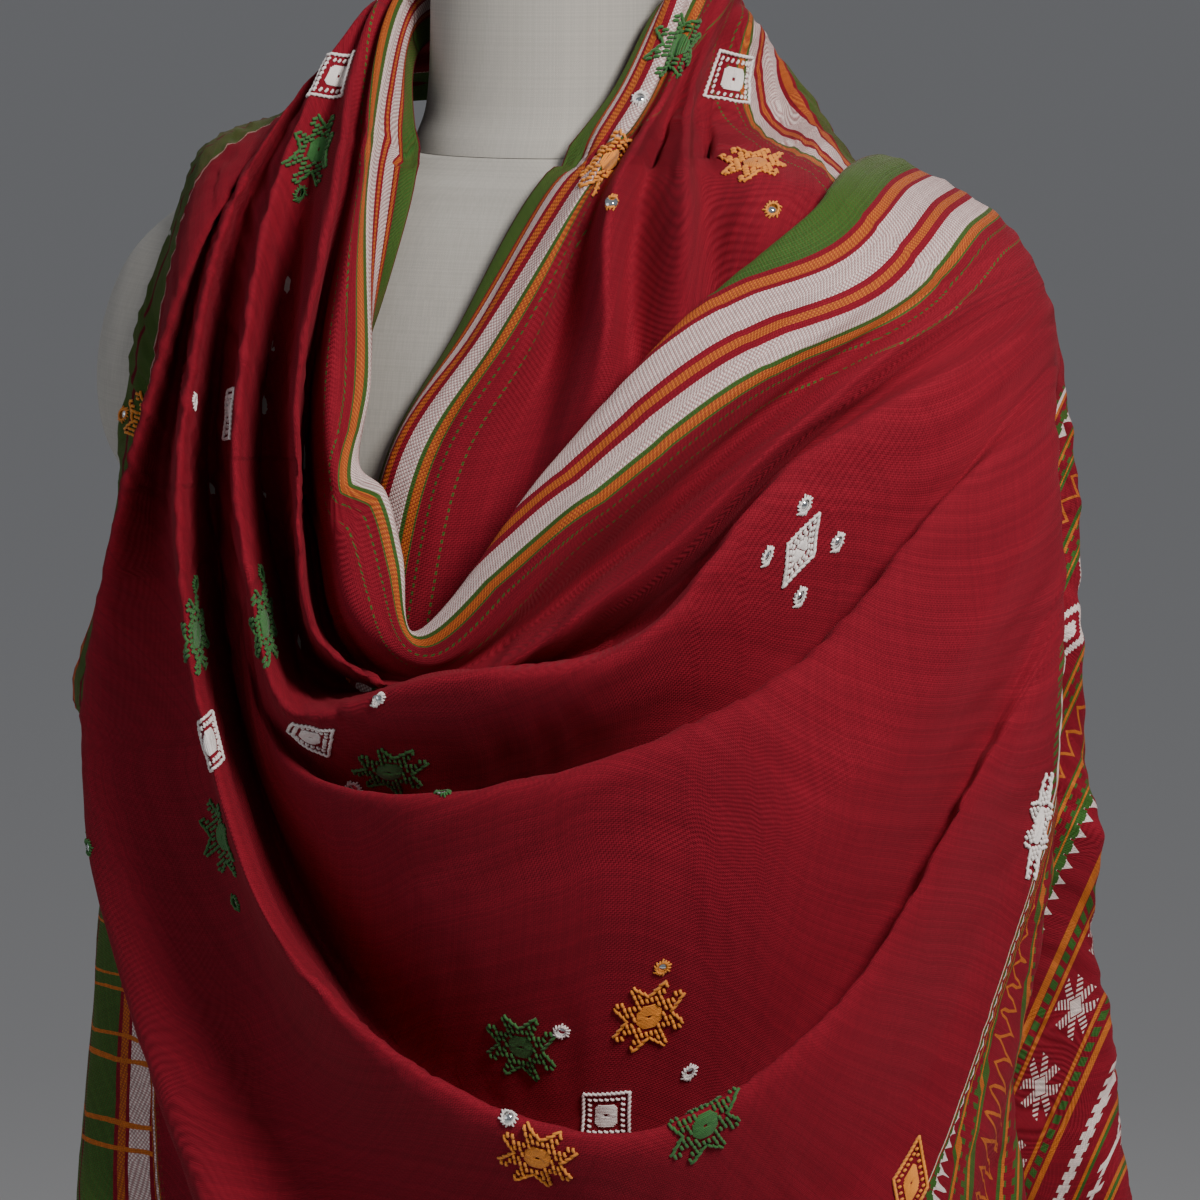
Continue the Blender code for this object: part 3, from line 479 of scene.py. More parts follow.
def curveBetween(before, start, end, after, fraction):
    # centripetal Catmull-Rom, for one point or a whole section at once
    knots = [0.0]
    for first, second in ((before, start), (start, end), (end, after)):
        length = np.linalg.norm(second - first, axis=-1, keepdims=True)
        knots.append(knots[-1] + np.maximum(length ** 0.5, 1e-6))
    k0, k1, k2, k3 = knots
    k = k1 + (k2 - k1) * fraction
    a1 = ((k1 - k) * before + (k - k0) * start) / (k1 - k0)
    a2 = ((k2 - k) * start + (k - k1) * end) / (k2 - k1)
    a3 = ((k3 - k) * end + (k - k2) * after) / (k3 - k2)
    b1 = ((k2 - k) * a1 + (k - k0) * a2) / (k2 - k0)
    b2 = ((k3 - k) * a2 + (k - k1) * a3) / (k3 - k1)
    return ((k2 - k) * b1 + (k - k1) * b2) / (k2 - k1)


def evenPlaces(first, last, steps):
    return [first + i / steps for i in range((last - first) * steps + 1)]


def smoothPath(points, places):
    points = [np.asarray(point, float) for point in points]
    last = len(points) - 1
    path = []
    for place in places:
        i = min(int(place), last - 1)
        start, end = points[i], points[i + 1]
        before = points[i - 1] if i > 0 else 2 * start - end
        after = points[i + 2] if i + 1 < last else 2 * end - start
        path.append(curveBetween(before, start, end, after, place - i))
    return np.array(path)


def rowsBetween(rows, knownRows, knownPoints):
    return np.stack([np.interp(rows, knownRows, knownPoints[:, axis]) for axis in range(3)], axis=1)


def resampled(path, fractions):
    lengths = np.concatenate(([0.0], np.cumsum(np.linalg.norm(np.diff(path, axis=0), axis=1))))
    return rowsBetween(fractions * lengths[-1], lengths, path)


def gatheredSections():
    folds = [[cells[0], *(seenPoint(*cell) for cell in cells[1:])] for cells in neckFolds.values()]
    folds.append(neckBackRow)
    sections = [np.array([fold[i] for fold in folds]) for i in reversed(range(gatheredStations))]
    share = np.clip((drape["hiddenFolds"] - np.arange(len(folds))) / 2, 0, 1)
    sections[0][:, 2] -= drape["hiddenEnd"] * share
    return sections


def napeSections():
    return [np.array([(*towards(degrees) * radius, height) for radius, height in napeProfile])
            for degrees in napeTurns]


def frontSections():
    folds = []
    for name, cells in (frontFolds | lowerFolds).items():
        points = [np.array(cell) for cell in cells]
        if name in frontFolds:
            points[1:-2] = [seenPoint(*cell) for cell in cells[1:-2]]
            points[-2] = seenAtDepth(*cells[-2])
        folds.append(points)
    return [np.array([fold[i] for fold in folds]) for i in range(frontStations)]


def tailSections(edge, turn):
    fractions = np.linspace(0.0, 1.0, drape["tailSections"] + 1)
    known = [fold["row"] for fold in tailFolds]
    paths = []
    for fold in tailFolds:
        points = [edge[fold["row"]], turn[fold["row"]]]
        last = len(fold["path"]) - 1
        for i, (degrees, height) in enumerate(fold["path"]):
            lift = drape["sideLift"] + (fold["lift"] - drape["sideLift"]) * min(1.0, 2 * i / last)
            flare = drape["flareSlope"] * max(0.0, drape["flareTop"] - height)
            lift += flare * np.interp(degrees, drape["flareTurns"], (1.0, 0.0))
            points.append(formPoint(degrees, height, lift))
        places = evenPlaces(1, len(points) - 1, drape["tailPathSteps"])
        paths.append(resampled(smoothPath(points, places), fractions))
    rows = range(len(turn))
    slip = turn - rowsBetween(rows, known, turn[known])
    sections = []
    for i, fraction in enumerate(fractions[1:], start=1):
        own = np.array([path[i] for path in paths])
        sections.append(rowsBetween(rows, known, own) + slip * (1 - fraction) ** 3)
    return sections


def acrossShawl(section):
    return smoothPath(section, np.linspace(0, len(section) - 1, drape["rows"] + 1))


def turnedBetween(first, second):
    polar = []
    for section in (first, second):
        turns = np.unwrap(np.arctan2(section[:, 0], -section[:, 1]))
        polar.append(np.stack((turns, np.hypot(section[:, 0], section[:, 1]), section[:, 2])))
    turns, radii, heights = (polar[0] + polar[1]) / 2
    return np.stack((radii * np.sin(turns), -radii * np.cos(turns), heights), axis=1)


def deepened(grid):
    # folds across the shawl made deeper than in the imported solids
    reach = drape["deepenReach"]
    weights = np.exp(-0.5 * (np.arange(-2 * reach, 2 * reach + 1) / reach) ** 2)
    weights /= weights.sum()
    padded = np.concatenate((2 * grid[:, :1] - grid[:, 2 * reach:0:-1], grid,
                             2 * grid[:, -1:] - grid[:, -2:-2 * reach - 2:-1]), axis=1)
    smooth = sum(weight * padded[:, i:i + grid.shape[1]] for i, weight in enumerate(weights))
    amount = np.interp(stationPlaces, *zip(*drape["deepen"]))
    return grid + (grid - smooth) * amount[:, None, None]


def rounded(grid):
    grid = grid.copy()
    for _ in range(drape["roundingPasses"]):
        middle = (grid[:, :-2] + grid[:, 2:]) / 2
        depth = np.linalg.norm(grid[:, 1:-1] - middle, axis=2)
        halfWidth = np.linalg.norm(grid[:, 2:] - grid[:, :-2], axis=2) / 2
        tight = depth > halfWidth ** 2 / (2 * drape["foldRadius"])
        grid[:, 1:-1] = np.where(tight[:, :, None], (grid[:, 1:-1] + middle) / 2, grid[:, 1:-1])
    return grid


gathered = [acrossShawl(section) for section in gatheredSections()]
nape = [acrossShawl(section) for section in napeSections()]
fronts = frontSections()
shawlSections = [*gathered, turnedBetween(gathered[-1], nape[0]), *nape,
                 *(acrossShawl(section) for section in fronts),
                 *(acrossShawl(section) for section in tailSections(*fronts[-2:]))]
print("folds laid out")


# the whole shawl is one fine grid: first station, last station, steps between two
clothSteps = ((0, frontStart, 12), (frontStart, tailStart, 22), (tailStart, endStation, 20))
creases = {                     # soft creases along the shawl
    "seed": 11,
    "count": 26,
    "height": 0.042,            # cm
    "along": (0.02, 0.10),      # waves a cm
    "across": (0.25, 0.9),
}


def gridNormals(points):
    along = np.gradient(points, axis=0)
    sideways = np.gradient(points, axis=1)
    normals = np.cross(sideways, along)
    return normals / np.maximum(np.linalg.norm(normals, axis=2, keepdims=True), 1e-9)


def arcLengths(points, axis):
    steps = np.linalg.norm(np.diff(points, axis=axis), axis=2)
    start = np.zeros_like(np.take(steps, [0], axis=axis))
    return np.concatenate((start, np.cumsum(steps, axis=axis)), axis=axis)


def creased(points, lengthsAlong, lengthsAcross):
    rng = np.random.default_rng(creases["seed"])
    height = np.zeros(points.shape[:2])
    for _ in range(creases["count"]):
        along = rng.uniform(*creases["along"])
        sideways = rng.uniform(*creases["across"])
        phase = rng.uniform(0, 2 * pi)
        height += np.sin(2 * pi * (along * lengthsAlong + sideways * lengthsAcross) + phase) / sideways ** 0.5
    height *= creases["height"] / creases["count"] ** 0.5
    return points + gridNormals(points) * height[:, :, None]


stationPlaces = [place for run in clothSteps for place in evenPlaces(*run)[:-1]]
stationPlaces = np.array([*stationPlaces, endStation])
leftEdge = {                    # the lower edge where it stands out behind the wearer's right side
    "stations": (9.0, 10.0, 16.6, 17.4),
    "outRows": (13.7 / 16, 15 / 16),
    "foldRow": 14.3 / 16,       # rows inside this one show no border
    "edgeRow": 15.1 / 16,
    "inside": 9.5,              # cm from the edge at the fold
    "outwards": ((-48.0, 2.5), (-41.0, 1.8), (-35.0, 1.0), (-31.0, 0.3), (-27.6, 0.3), (-25.8, 1.6),
                 (-24.4, 1.6), (-19.5, 0.1), (-18.0, -0.2), (-13.4, -0.5), (-10.2, -0.9), (-7.1, -0.8),
                 (-3.0, -0.9), (-1.1, -0.6), (1.0, 0.0)),
    "bands": ((-49.0, 23.0), (-48.0, 21.7), (-44.5, 18.2), (-40.9, 15.45), (-38.1, 11.75), (-35.5, 6.75),
              (-31.0, 0.5)),
}
rowPart = np.linspace(0.0, 1.0, len(shawlSections[0]))


def outAtLeft(grid):
    # the lower edge stands out past the folds in front of it
    heights, reaches = zip(*leftEdge["outwards"])
    atStation = np.interp(stationPlaces, leftEdge["stations"], (0.0, 1.0, 1.0, 0.0))[:, None]
    atRow = np.interp(rowPart, leftEdge["outRows"], (0.0, 1.0))[None, :]
    reach = np.interp(grid[:, :, 2], heights, reaches) * atStation * atRow
    return grid - viewRight * reach[:, :, None]


def formTrees():
    for name in ("form_torso", "form_neck"):
        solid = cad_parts[name].data
        yield BVHTree.FromPolygons([vertex.co for vertex in solid.vertices],
                                   [tuple(face.vertices) for face in solid.polygons])


def clearOfForm(grid):
    # no fold is pressed into the dress form; what is pushed out is then smoothed
    trees = list(formTrees())
    clear = drape["clear"]
    for _ in range(drape["clearPasses"]):
        pushed = np.zeros_like(grid)
        places = toWorld(grid).tolist()
        for c, r in np.ndindex(grid.shape[:2]):
            point = Vector(places[c][r])
            for tree in trees:
                place, normal, _, _ = tree.find_nearest(point, drape["clearSearch"])
                height = clear if place is None else (point - place).dot(normal)
                if height < clear:
                    pushed[c, r] += np.array(normal) * (clear - height) / cm
        for _ in range(drape["clearBlur"]):
            around = (pushed[:-2, 1:-1] + pushed[2:, 1:-1] + pushed[1:-1, :-2] + pushed[1:-1, 2:]) / 4
            own = pushed[1:-1, 1:-1]
            pushed[1:-1, 1:-1] = np.where(np.abs(around) > np.abs(own), around, own)
        grid = grid + pushed
    return grid


shawl = clearOfForm(rounded(outAtLeft(deepened(smoothPath(shawlSections, stationPlaces)))))
alongLength = arcLengths(shawl, 0)
acrossLength = arcLengths(shawl, 1)
shawl = creased(shawl, alongLength, acrossLength)
columnCount, rowCount = shawl.shape[:2]
print("shawl grid", columnCount, "x", rowCount)


# where each point lies on the cut: from the two long edges, and into the end panel, in cm
turnedEdge = (                  # station, width of neckline border that is folded under, its fold's place
    (0, 4.5, 0.7 / 11), (5, 4.5, 0.7 / 11), (7, 6.05, 1 / 16), (13.5, 6.05, 1 / 16), (14.3, 5.4, 1 / 16),
    (15, 5.9, 1 / 16), (17, 5.95, 1 / 16), (17.5, 5.3, 1 / 16), (17.8, 4.3, 1 / 16), (18, 3.6, 1 / 16),
    (18.35, 3.15, 1 / 16), (19, 2.8, 1 / 16), (19.5, 2.2, 0.7 / 16), (20, 0.3, 0.5 / 16), (30, 0.3, 0.5 / 16),
)
outerEdge = ((0, 2.5, 10 / 11), (5, 2.5, 10 / 11), (7, 0.0, 1.0), (30, 0.0, 1.0))   # the same, lower edge
openFrom = (18.5, 20.0)         # stations where the neckline border unfolds
braidLine = (                   # pixels of the start of the end panel on the front
    (1060, 640), (1051, 800), (1040, 851), (1024, 910), (1004, 973), (979, 1035), (963, 1106),
    (953, 1152), (928, 1185), (915, 1195), (895, 1260), (870, 1400), (840, 1600), (823, 1760),
)
sidePanel = (                   # how far across the side's bands in pixels, and how far into the panel
    (1030, -10.0), (1128, 0.0), (1147, 1.85), (1179, 4.95), (1234, 9.3), (1278, 13.65), (1325, 16.65),
    (1364, 18.65), (1420, 23.25), (1456, 25.2), (1484, 27.7), (1512, 30.0),
)
sideLine = (0.9135, 0.4067)     # across the bands, as seen in the picture
sideOutline = ((400, 1071), (1200, 1134))   # pixels down, and the outline's pixels across
sideTurns = (103.0, 105.0)      # degrees round the form where the side goes out of sight
sideOnward = 12.0               # pixels across the bands for each cm round the form after that
pleatTurn = 119.0               # degrees round the form of the pleat that ends the side's bands
panelLength = 30.0
offPanel = -50.0                # cm, for points with no bands
bandStations = 4                # last stations of the front that have bands
frontShare = 0.95               # of the width seen in the picture, for the front's bands


def pixelsOf(points):
    ray = points - viewEye
    reach = -view["distance"] / (ray @ viewToward)
    onPlane = viewEye + ray * reach[..., None]
    x = view["seam"][0] + (onPlane @ viewRight) / view["pixel"]
    y = view["seam"][1] - (onPlane @ viewUp) / view["pixel"]
    return x, y


def alongStations(table):
    stations, *columns = zip(*table)
    return [np.interp(stationPlaces, stations, column) for column in columns]


def edgeDistances():
    foldWidth, foldPart = alongStations(turnedEdge)
    outerWidth, outerPart = alongStations(outerEdge)
    opened = np.interp(stationPlaces, openFrom, (0.0, 1.0))
    fromNeckline = np.zeros((columnCount, rowCount))
    fromLower = np.zeros((columnCount, rowCount))
    for c in range(columnCount):
        lengths = acrossLength[c]
        atFold = np.interp(foldPart[c], rowPart, lengths)
        width = foldWidth[c] * (1 - opened[c]) + atFold * opened[c]
        fromNeckline[c] = np.where(lengths < atFold, lengths / atFold * width, width + lengths - atFold)
        atOuter = np.interp(outerPart[c], rowPart, lengths)
        beyond = (lengths - atOuter) / max(lengths[-1] - atOuter, 1e-6)
        fromLower[c] = np.where(lengths < atOuter, outerWidth[c] + atOuter - lengths,
                                outerWidth[c] * (1 - beyond))
        atLeft = atLeftEdge[c]
        if atLeft > 0:
            fold = np.interp(leftEdge["foldRow"], rowPart, lengths)
            edge = np.interp(leftEdge["edgeRow"], rowPart, lengths)
            own = np.where(lengths < fold, leftEdge["inside"] + fold - lengths, np.abs(edge - lengths))
            fromLower[c] = own * atLeft + fromLower[c] * (1 - atLeft)
    return fromNeckline, fromLower


def frontPanel():
    # how far each point of the front is past the braid line, along its own row
    x, y = pixelsOf(shawl)
    line = np.array(braidLine)
    past = x > np.interp(y, line[:, 1], line[:, 0])
    firstColumn = int(np.argmax(stationPlaces >= tailStart - bandStations))
    lastColumn = int(np.argmax(stationPlaces >= tailStart))
    panel = np.full((columnCount, rowCount), offPanel)
    for r in range(rowCount):
        crossed = np.nonzero(past[firstColumn:lastColumn, r])[0]
        if len(crossed) and y[firstColumn + crossed[0], r] > braidLine[0][1]:
            steps = np.abs(np.diff(x[:, r])) * view["pixel"] * frontShare
            reach = np.concatenate(((0.0,), np.cumsum(steps)))
            panel[:, r] = reach - reach[firstColumn + crossed[0]]
    onLeft = (rowPart[None, :] > leftEdge["foldRow"]) & (atLeftEdge[:, None] > 0.5)
    heights, reaches = zip(*leftEdge["bands"])
    own = np.where(shawl[:, :, 2] < heights[-1], np.interp(shawl[:, :, 2], heights, reaches), offPanel)
    return np.where(onLeft, own, panel)


def sidePanels():
    # how far each point of the tail's side is into the panel; past the outline it goes on round the form
    x, y = pixelsOf(shawl)
    level = view["seam"][1] - shawl[:, :, 2] / view["pixel"]
    (top, first), (bottom, last) = sideOutline
    outline = first + (level - top) * (last - first) / (bottom - top)
    seen = sideLine[0] * x + sideLine[1] * y
    onward = radians(1) * (formTurn - sideTurns[0]) * np.hypot(shawl[:, :, 0], shawl[:, :, 1])
    unseen = sideLine[0] * outline + sideLine[1] * level + onward * sideOnward
    share = np.clip((formTurn - sideTurns[0]) / (sideTurns[1] - sideTurns[0]), 0, 1)
    return np.interp(seen * (1 - share) + unseen * share, *zip(*sidePanel))


atLeftEdge = np.interp(stationPlaces, leftEdge["stations"], (0.0, 1.0, 1.0, 0.0))
fromNeckline, fromLower = edgeDistances()
edgeDistance = np.minimum(fromNeckline, fromLower)
panelOnFront = frontPanel()
panelOnBack = panelLength - (alongLength[-1] - alongLength)
formTurn = np.degrees(np.arctan2(shawl[:, :, 0], -shawl[:, :, 1])) % 360
panelOnSide = sidePanels()
print("cut laid out, widest", round(float(acrossLength[:, -1].max()), 1), "cm")


# a run of the shawl's columns, as a piece with its places on the cut
class Stretch:
    def __init__(self, name, first, last):
        self.name = name
        self.first = int(np.argmax(stationPlaces >= first))
        self.last = int(np.argmax(stationPlaces >= last))
        self.points = toWorld(shawl[self.first:self.last + 1]) - (0.0, 0.0, drape["settled"])
        self.along = alongLength[self.first:self.last + 1]
        self.sideways = acrossLength[self.first:self.last + 1]
        columns, rows = self.points.shape[:2]
        corner = np.arange(columns)[:-1, None] * rows + np.arange(rows)[None, :-1]
        self.faces = np.stack((corner, corner + 1, corner + rows + 1, corner + rows), axis=2).reshape(-1, 4)
        self.normals = gridNormals(self.points)
        self.tree = BVHTree.FromPolygons(self.points.reshape(-1, 3).tolist(), self.faces.tolist())

    def valuesOf(self, values):
        return values[self.first:self.last + 1].reshape(-1)

    def build(self, material, panels):
        mesh = bpy.data.meshes.new(self.name)
        mesh.from_pydata(self.points.reshape(-1, 3).tolist(), [], self.faces.tolist())
        mesh.shade_smooth()
        mesh.materials.append(material)
        corners = self.faces.reshape(-1)
        cut = np.stack((self.valuesOf(alongLength)[corners], self.valuesOf(fromNeckline)[corners]), axis=1)
        bands = np.stack((panels, self.valuesOf(edgeDistance)[corners]), axis=1)
        for name, values in (("cut", cut), ("bands", bands)):
            layer = mesh.uv_layers.new(name=name)
            layer.data.foreach_set("uv", (values * cm).astype(np.float32).reshape(-1))
        piece = placed(self.name, mesh)
        wall = piece.modifiers.new("wall", "SOLIDIFY")
        wall.thickness = drape["wall"]
        wall.offset = -1.0
        return piece

    def placeOf(self, point):
        # column and row, with fractions, of a point on the cloth
        _, _, face, _ = self.tree.find_nearest(Vector(point))
        rows = self.points.shape[1]
        c, r = divmod(face, rows - 1)
        origin = self.points[c, r]
        alongStep = self.points[c + 1, r] - origin
        sideStep = self.points[c, r + 1] - origin
        matrix = np.stack((alongStep, sideStep), axis=1)
        solution = np.linalg.lstsq(matrix, np.asarray(point) - origin, rcond=None)[0]
        return c + solution[0], r + solution[1]

    def at(self, values, column, row):
        column = min(max(column, 0), self.points.shape[0] - 1.001)
        row = min(max(row, 0), self.points.shape[1] - 1.001)
        c, r = int(column), int(row)
        u, v = column - c, row - r
        return ((values[c, r] * (1 - v) + values[c, r + 1] * v) * (1 - u)
                + (values[c + 1, r] * (1 - v) + values[c + 1, r + 1] * v) * u)

    def shifted(self, column, row, alongBy, sideBy):
        # the place that lies so many cm further along and across the cloth
        c = min(max(int(round(column)), 0), self.points.shape[0] - 1)
        lengths = self.sideways[c]
        here = np.interp(row, np.arange(len(lengths)), lengths)
        row = float(np.interp(here + sideBy, lengths, np.arange(len(lengths))))
        lengths = self.along[:, min(max(int(round(row)), 0), self.points.shape[1] - 1)]
        here = np.interp(column, np.arange(len(lengths)), lengths)
        return float(np.interp(here + alongBy, lengths, np.arange(len(lengths)))), row


frontStretch = Stretch("shawlFront", frontStart, tailStart)
gatheredStretch = Stretch("shawlGathered", 0, frontStart)
tailStretch = Stretch("shawlTail", tailStart, endStation)
stretches = (frontStretch, gatheredStretch, tailStretch)


# the wool: woven stripes along both edges, and a banded panel at the end
wool = {
    "thread": 0.00105,
    "threadBump": 0.00018,
    "raised": 0.0003,           # the bands' extra threads
    "step": 0.0018,             # of the woven figures' stepped outlines
    "checked": 0.62,            # share of the red weft that shows in the pale stripes
    "borderWidth": 0.0686,
    "field": (0.245, 0.0075, 0.020),
    "dark": (0.12, 0.004, 0.012),
    "white": (0.86, 0.72, 0.68),
    "orange": (0.58, 0.15, 0.022),
    "green": (0.04, 0.13, 0.02),
}
edgeStripes = (                 # mm from the edge where each colour starts
    (0, "dark"), (1, "green"), (23, "field"), (25.2, "orange"), (29.6, "field"), (31.6, "white"),
    (43.6, "field"), (46.1, "orange"), (49.8, "field"), (53.1, "white"), (61.9, "green"),
    (63.9, "orange"), (67.6, "green"), (68.6, "field"),
)
dashedLines = ((72.6, 73.6), (81.6, 82.6))      # mm from the edge
panelBands = (                  # mm into the panel where each colour starts
    (0, "green"), (2, "white"), (4, "orange"), (6, "field"), (23.5, "green"), (25.5, "orange"),
    (27.5, "green"), (35.5, "orange"), (37.5, "green"), (39.5, "field"), (59.5, "green"),
    (61.5, "orange"), (63.5, "green"), (71.5, "orange"), (73.5, "green"), (75.5, "field"),
    (110.5, "green"), (112.5, "orange"), (114.5, "green"), (122.5, "orange"), (124.5, "green"),
    (126.5, "field"), (146.5, "green"), (148.5, "orange"), (150.5, "green"), (158.5, "orange"),
    (160.5, "green"), (162.5, "field"), (180, "orange"), (183, "field"),
)
panelLines = (                  # the outer bands that one ramp has no room for
    (190, 193, "orange"), (226, 229, "orange"), (236, 239, "orange"), (262, 264.5, "orange"),
    (264.5, 267, "green"), (287, 289.5, "orange"), (289.5, 292, "green"), (292, 294, "orange"),
)
crossingLines = (61.5, 71.5, 112.5, 122.5, 148.5, 158.5, 180, 190, 226, 236, 262)   # over the border


def striped(start, value, table, length):
    stops = [(place / length, wool[name]) for place, name in table]
    ramp = start.node("ShaderNodeValToRGB", {"stops": stops}, {"Fac": value / (length / 1000)})
    ramp.socket.node.color_ramp.interpolation = "CONSTANT"
    return ramp


def bandMotifs(panel, along):
    # white, orange, red and green figures on the end panel, as masks
    def band(first, last):
        return between(panel, first / 1000, last / 1000)

    def fromMiddle(centre, period, shift=0.0):
        return repeated(along + shift, period).math("ABSOLUTE"), (panel - centre / 1000).math("ABSOLUTE")

    def teeth(first, height, period):
        rise = (panel - first / 1000) / (height / 1000)
        across = repeated(along, period).math("ABSOLUTE") * (2 / period)
        return band(first, first + height) * (across < 1 - rise)

    def zigzag(centre, period, reach, width):
        wave = (repeated(along, period).math("ABSOLUTE") * (4 / period) - 1) * reach
        return (panel - centre / 1000 - wave).math("ABSOLUTE") < width

    def diamond(centre, period, radius, hollow=None):
        x, y = fromMiddle(centre, period)
        reach = x.math("SNAP", wool["step"]) + y.math("SNAP", wool["step"])
        return (reach < radius) * (reach > hollow) if hollow else reach < radius

    def cross(centre, period, reach, width):
        x, y = fromMiddle(centre, period)
        return (x < reach) * (y < reach) * (x < width).math("MAXIMUM", y < width)

    def dashes(centre, period, length, height):
        return band(centre - height / 2, centre + height / 2) * between(
            repeated(along, period), -length / 2, length / 2)

    def star(centre, period, radius):
        # four forked arms round a small block
        x, y = fromMiddle(centre, period, 0.016)
        longer, shorter = x.math("MAXIMUM", y), x.math("MINIMUM", y)
        fork = longer < shorter * 1.5 + radius * 0.62
        arm = (longer < radius) * (shorter < longer * 0.55 + 0.0012) * fork
        seeds = ((x + y).math("SNAP", wool["step"]) / wool["step"]).math("MODULO", 2.0) < 0.5
        return (arm * seeds).math("MAXIMUM", x + y < radius * 0.42)

    white = teeth(14.5, 8, 0.008) + teeth(162.5, 8, 0.008) + cross(277, 0.009, 0.0042, 0.0012)
    white += (diamond(93, 0.034, 0.016, 0.009) + diamond(93, 0.034, 0.0045)) * band(76, 110)
    white += star(209.5, 0.044, 0.0145) * band(193, 226) + diamond(252, 0.0062, 0.0022) * band(248, 256)
    orange = sum(zigzag(first + 9.5, 0.013, 0.006, 0.0016) * band(first, first + 19) for first in (40, 127))
    red = sum(diamond(centre, 0.0065, 0.003) for centre in (31.5, 67.5, 118.5, 154.5))
    green = sum(dashes(centre, 0.0075, 0.0045, 4.4) for centre in (186.5, 232.5))
    green += diamond(163.5, 0.008, 0.0025) * band(162.5, 166) + diamond(12.6, 0.008, 0.0022)
    return white, orange, red, green


def makeWool():
    material, start = newMaterial(
        "crimson wool", Sheen_Weight=0.12, Sheen_Roughness=0.4, Specular_IOR_Level=0.2,
        Sheen_Tint=(0.9, 0.12, 0.16, 1.0))
    along, sideways = mapOf(start, "cut")
    panel, edge = mapOf(start, "bands")
    height, warpOver, warpNumber, weftNumber = plainWeave(sideways / wool["thread"], along / wool["thread"])

    colour = striped(start, edge, edgeStripes, 100)
    stitched = between(repeated(along, 0.0036), -0.0009, 0.0009)
    dashed = sum(between(edge, first / 1000, last / 1000) for first, last in dashedLines)
    colour = mixed(dashed * stitched, colour, wool["green"])
    bands = striped(start, panel, panelBands, 300)
    for first, last, name in panelLines:
        bands = mixed(between(panel, first / 1000, last / 1000), bands, wool[name])
    white, orange, red, green = bandMotifs(panel, sideways)
    for mask, name in ((white, "white"), (orange, "orange"), (red, "field"), (green, "green")):
        bands = mixed(mask.math("MINIMUM", 1.0), bands, wool[name])
    twisted = between(panel, 0.0, 0.002) * between(repeated(sideways, 0.004), -0.001, 0.001)
    bands = mixed(twisted, bands, wool["field"])

    # the weft stays red, so it checks the pale stripes
    pale = start.node("ShaderNodeSeparateColor", None, {0: colour})
    checked = ((1 - warpOver) * (0.1 + 0.95 * pale)).math("MINIMUM", wool["checked"])
    colour = mixed(checked, colour, wool["field"])
    inPanel = panel > 0.0
    crossing = sum(between(panel, line / 1000, line / 1000 + 0.002) for line in crossingLines)
    colour = mixed(inPanel * crossing * (edge < wool["borderWidth"]), colour, wool["orange"])
    colour = mixed(inPanel * (edge > wool["borderWidth"]), colour, bands)

    figured = start.node("ShaderNodeSeparateColor", None, {0: colour}, 1) > 0.04
    # the thread height lightens each thread's crown and darkens the gaps between threads: painted shade; the
    # factors after it are the random tone of threads and cloth
    shade = 0.74 + 0.26 * height
    shade = shade * (0.9 + 0.2 * toneOf(start, warpNumber)) * (0.94 + 0.12 * toneOf(start, weftNumber + 0.37))
    shade = shade * (0.82 + 0.36 * noise(start, 14.0, 3.0)) * (0.85 + 0.3 * noise(start, 900.0, 2.0))
    bump = bumped(start, height * wool["threadBump"] + figured * inPanel * wool["raised"], 0.9)
    wire(start, Base_Color=shaded(start, colour, shade), Roughness=0.86 - 0.18 * figured, Normal=bump)
    return material


def frontBands(stretch):
    return stretch.valuesOf(panelOnFront)[stretch.faces.reshape(-1)]


def tailBands(stretch):
    # one value for each face corner, so that the bands break at the pleat
    corners = stretch.faces.reshape(-1)
    turns = stretch.valuesOf(formTurn)[stretch.faces].mean(axis=1)
    atSide = np.repeat(turns < pleatTurn, 4)
    return np.where(atSide, stretch.valuesOf(panelOnSide)[corners], stretch.valuesOf(panelOnBack)[corners])


woolMaterial = makeWool()
shawlFront = frontStretch.build(woolMaterial, frontBands(frontStretch))
shawlGathered = gatheredStretch.build(woolMaterial, frontBands(gatheredStretch))
shawlTail = tailStretch.build(woolMaterial, tailBands(tailStretch))
print("shawl built")


# embroidery: stitches laid on the cloth, and small round mirrors in rings of thread; lengths in mm
stitching = {
    "seed": 1.5, "line": 1.4, "dot": 1.3, "satin": 1.0, "ring": 0.9,    # thread widths
    "starReach": 18.0, "starNotch": 10.5, "starValley": 10.0, "starCentre": 5.8,
    "armTurn": 24.0, "armWiden": 9.0,                                   # degrees
    "seedPitch": (2.3, 2.9), "seedRows": 7, "seedColumns": 9, "seedHalf": (0.35, 1.0),
    "seedClear": 1.35,          # from the lines
    "squareHalf": 11.0, "squareDots": 8.0, "squareCentre": 5.2, "squareDotCount": 6,
    "rhombusHalf": (10.2, 14.2),
    "rhombusDots": ((0.76, 5), (0.55, 4)),                              # share of the outline, dots a side
    "glass": 2.75, "glassDepth": 0.5, "glassLift": 0.3,
    "ringIn": 2.5, "ringOut": 3.9, "ringStitches": 15,
    "mirrorsRound": 2.1,        # cm from a hidden figure's middle
    "sides": 5,
}
threadColours = {"white": (0.86, 0.80, 0.77), "orange": (0.78, 0.27, 0.03), "green": (0.035, 0.15, 0.03)}
figuresSeen = (                 # figure, colour, and the picture's pixel where its middle is seen
    ("rhombus", "white", 801, 550), ("square", "white", 210, 742), ("square", "white", 311, 737),
    ("square", "white", 607, 1116), ("star", "orange", 650, 1017), ("star", "orange", 538, 1158),
    ("square", "orange", 912, 1184), ("star", "white", 1040, 826), ("star", "green", 522, 1047),
    ("star", "green", 196, 635), ("star", "green", 265, 624), ("star", "green", 224, 838),
    ("star", "green", 390, 772), ("star", "green", 320, 150), ("square", "white", 338, 77),
    ("star", "green", 678, 46), ("star", "orange", 757, 163), ("square", "white", 734, 80),
    ("star", "orange", 612, 160), ("square", "white", 232, 414), ("star", "green", 706, 1126),
)
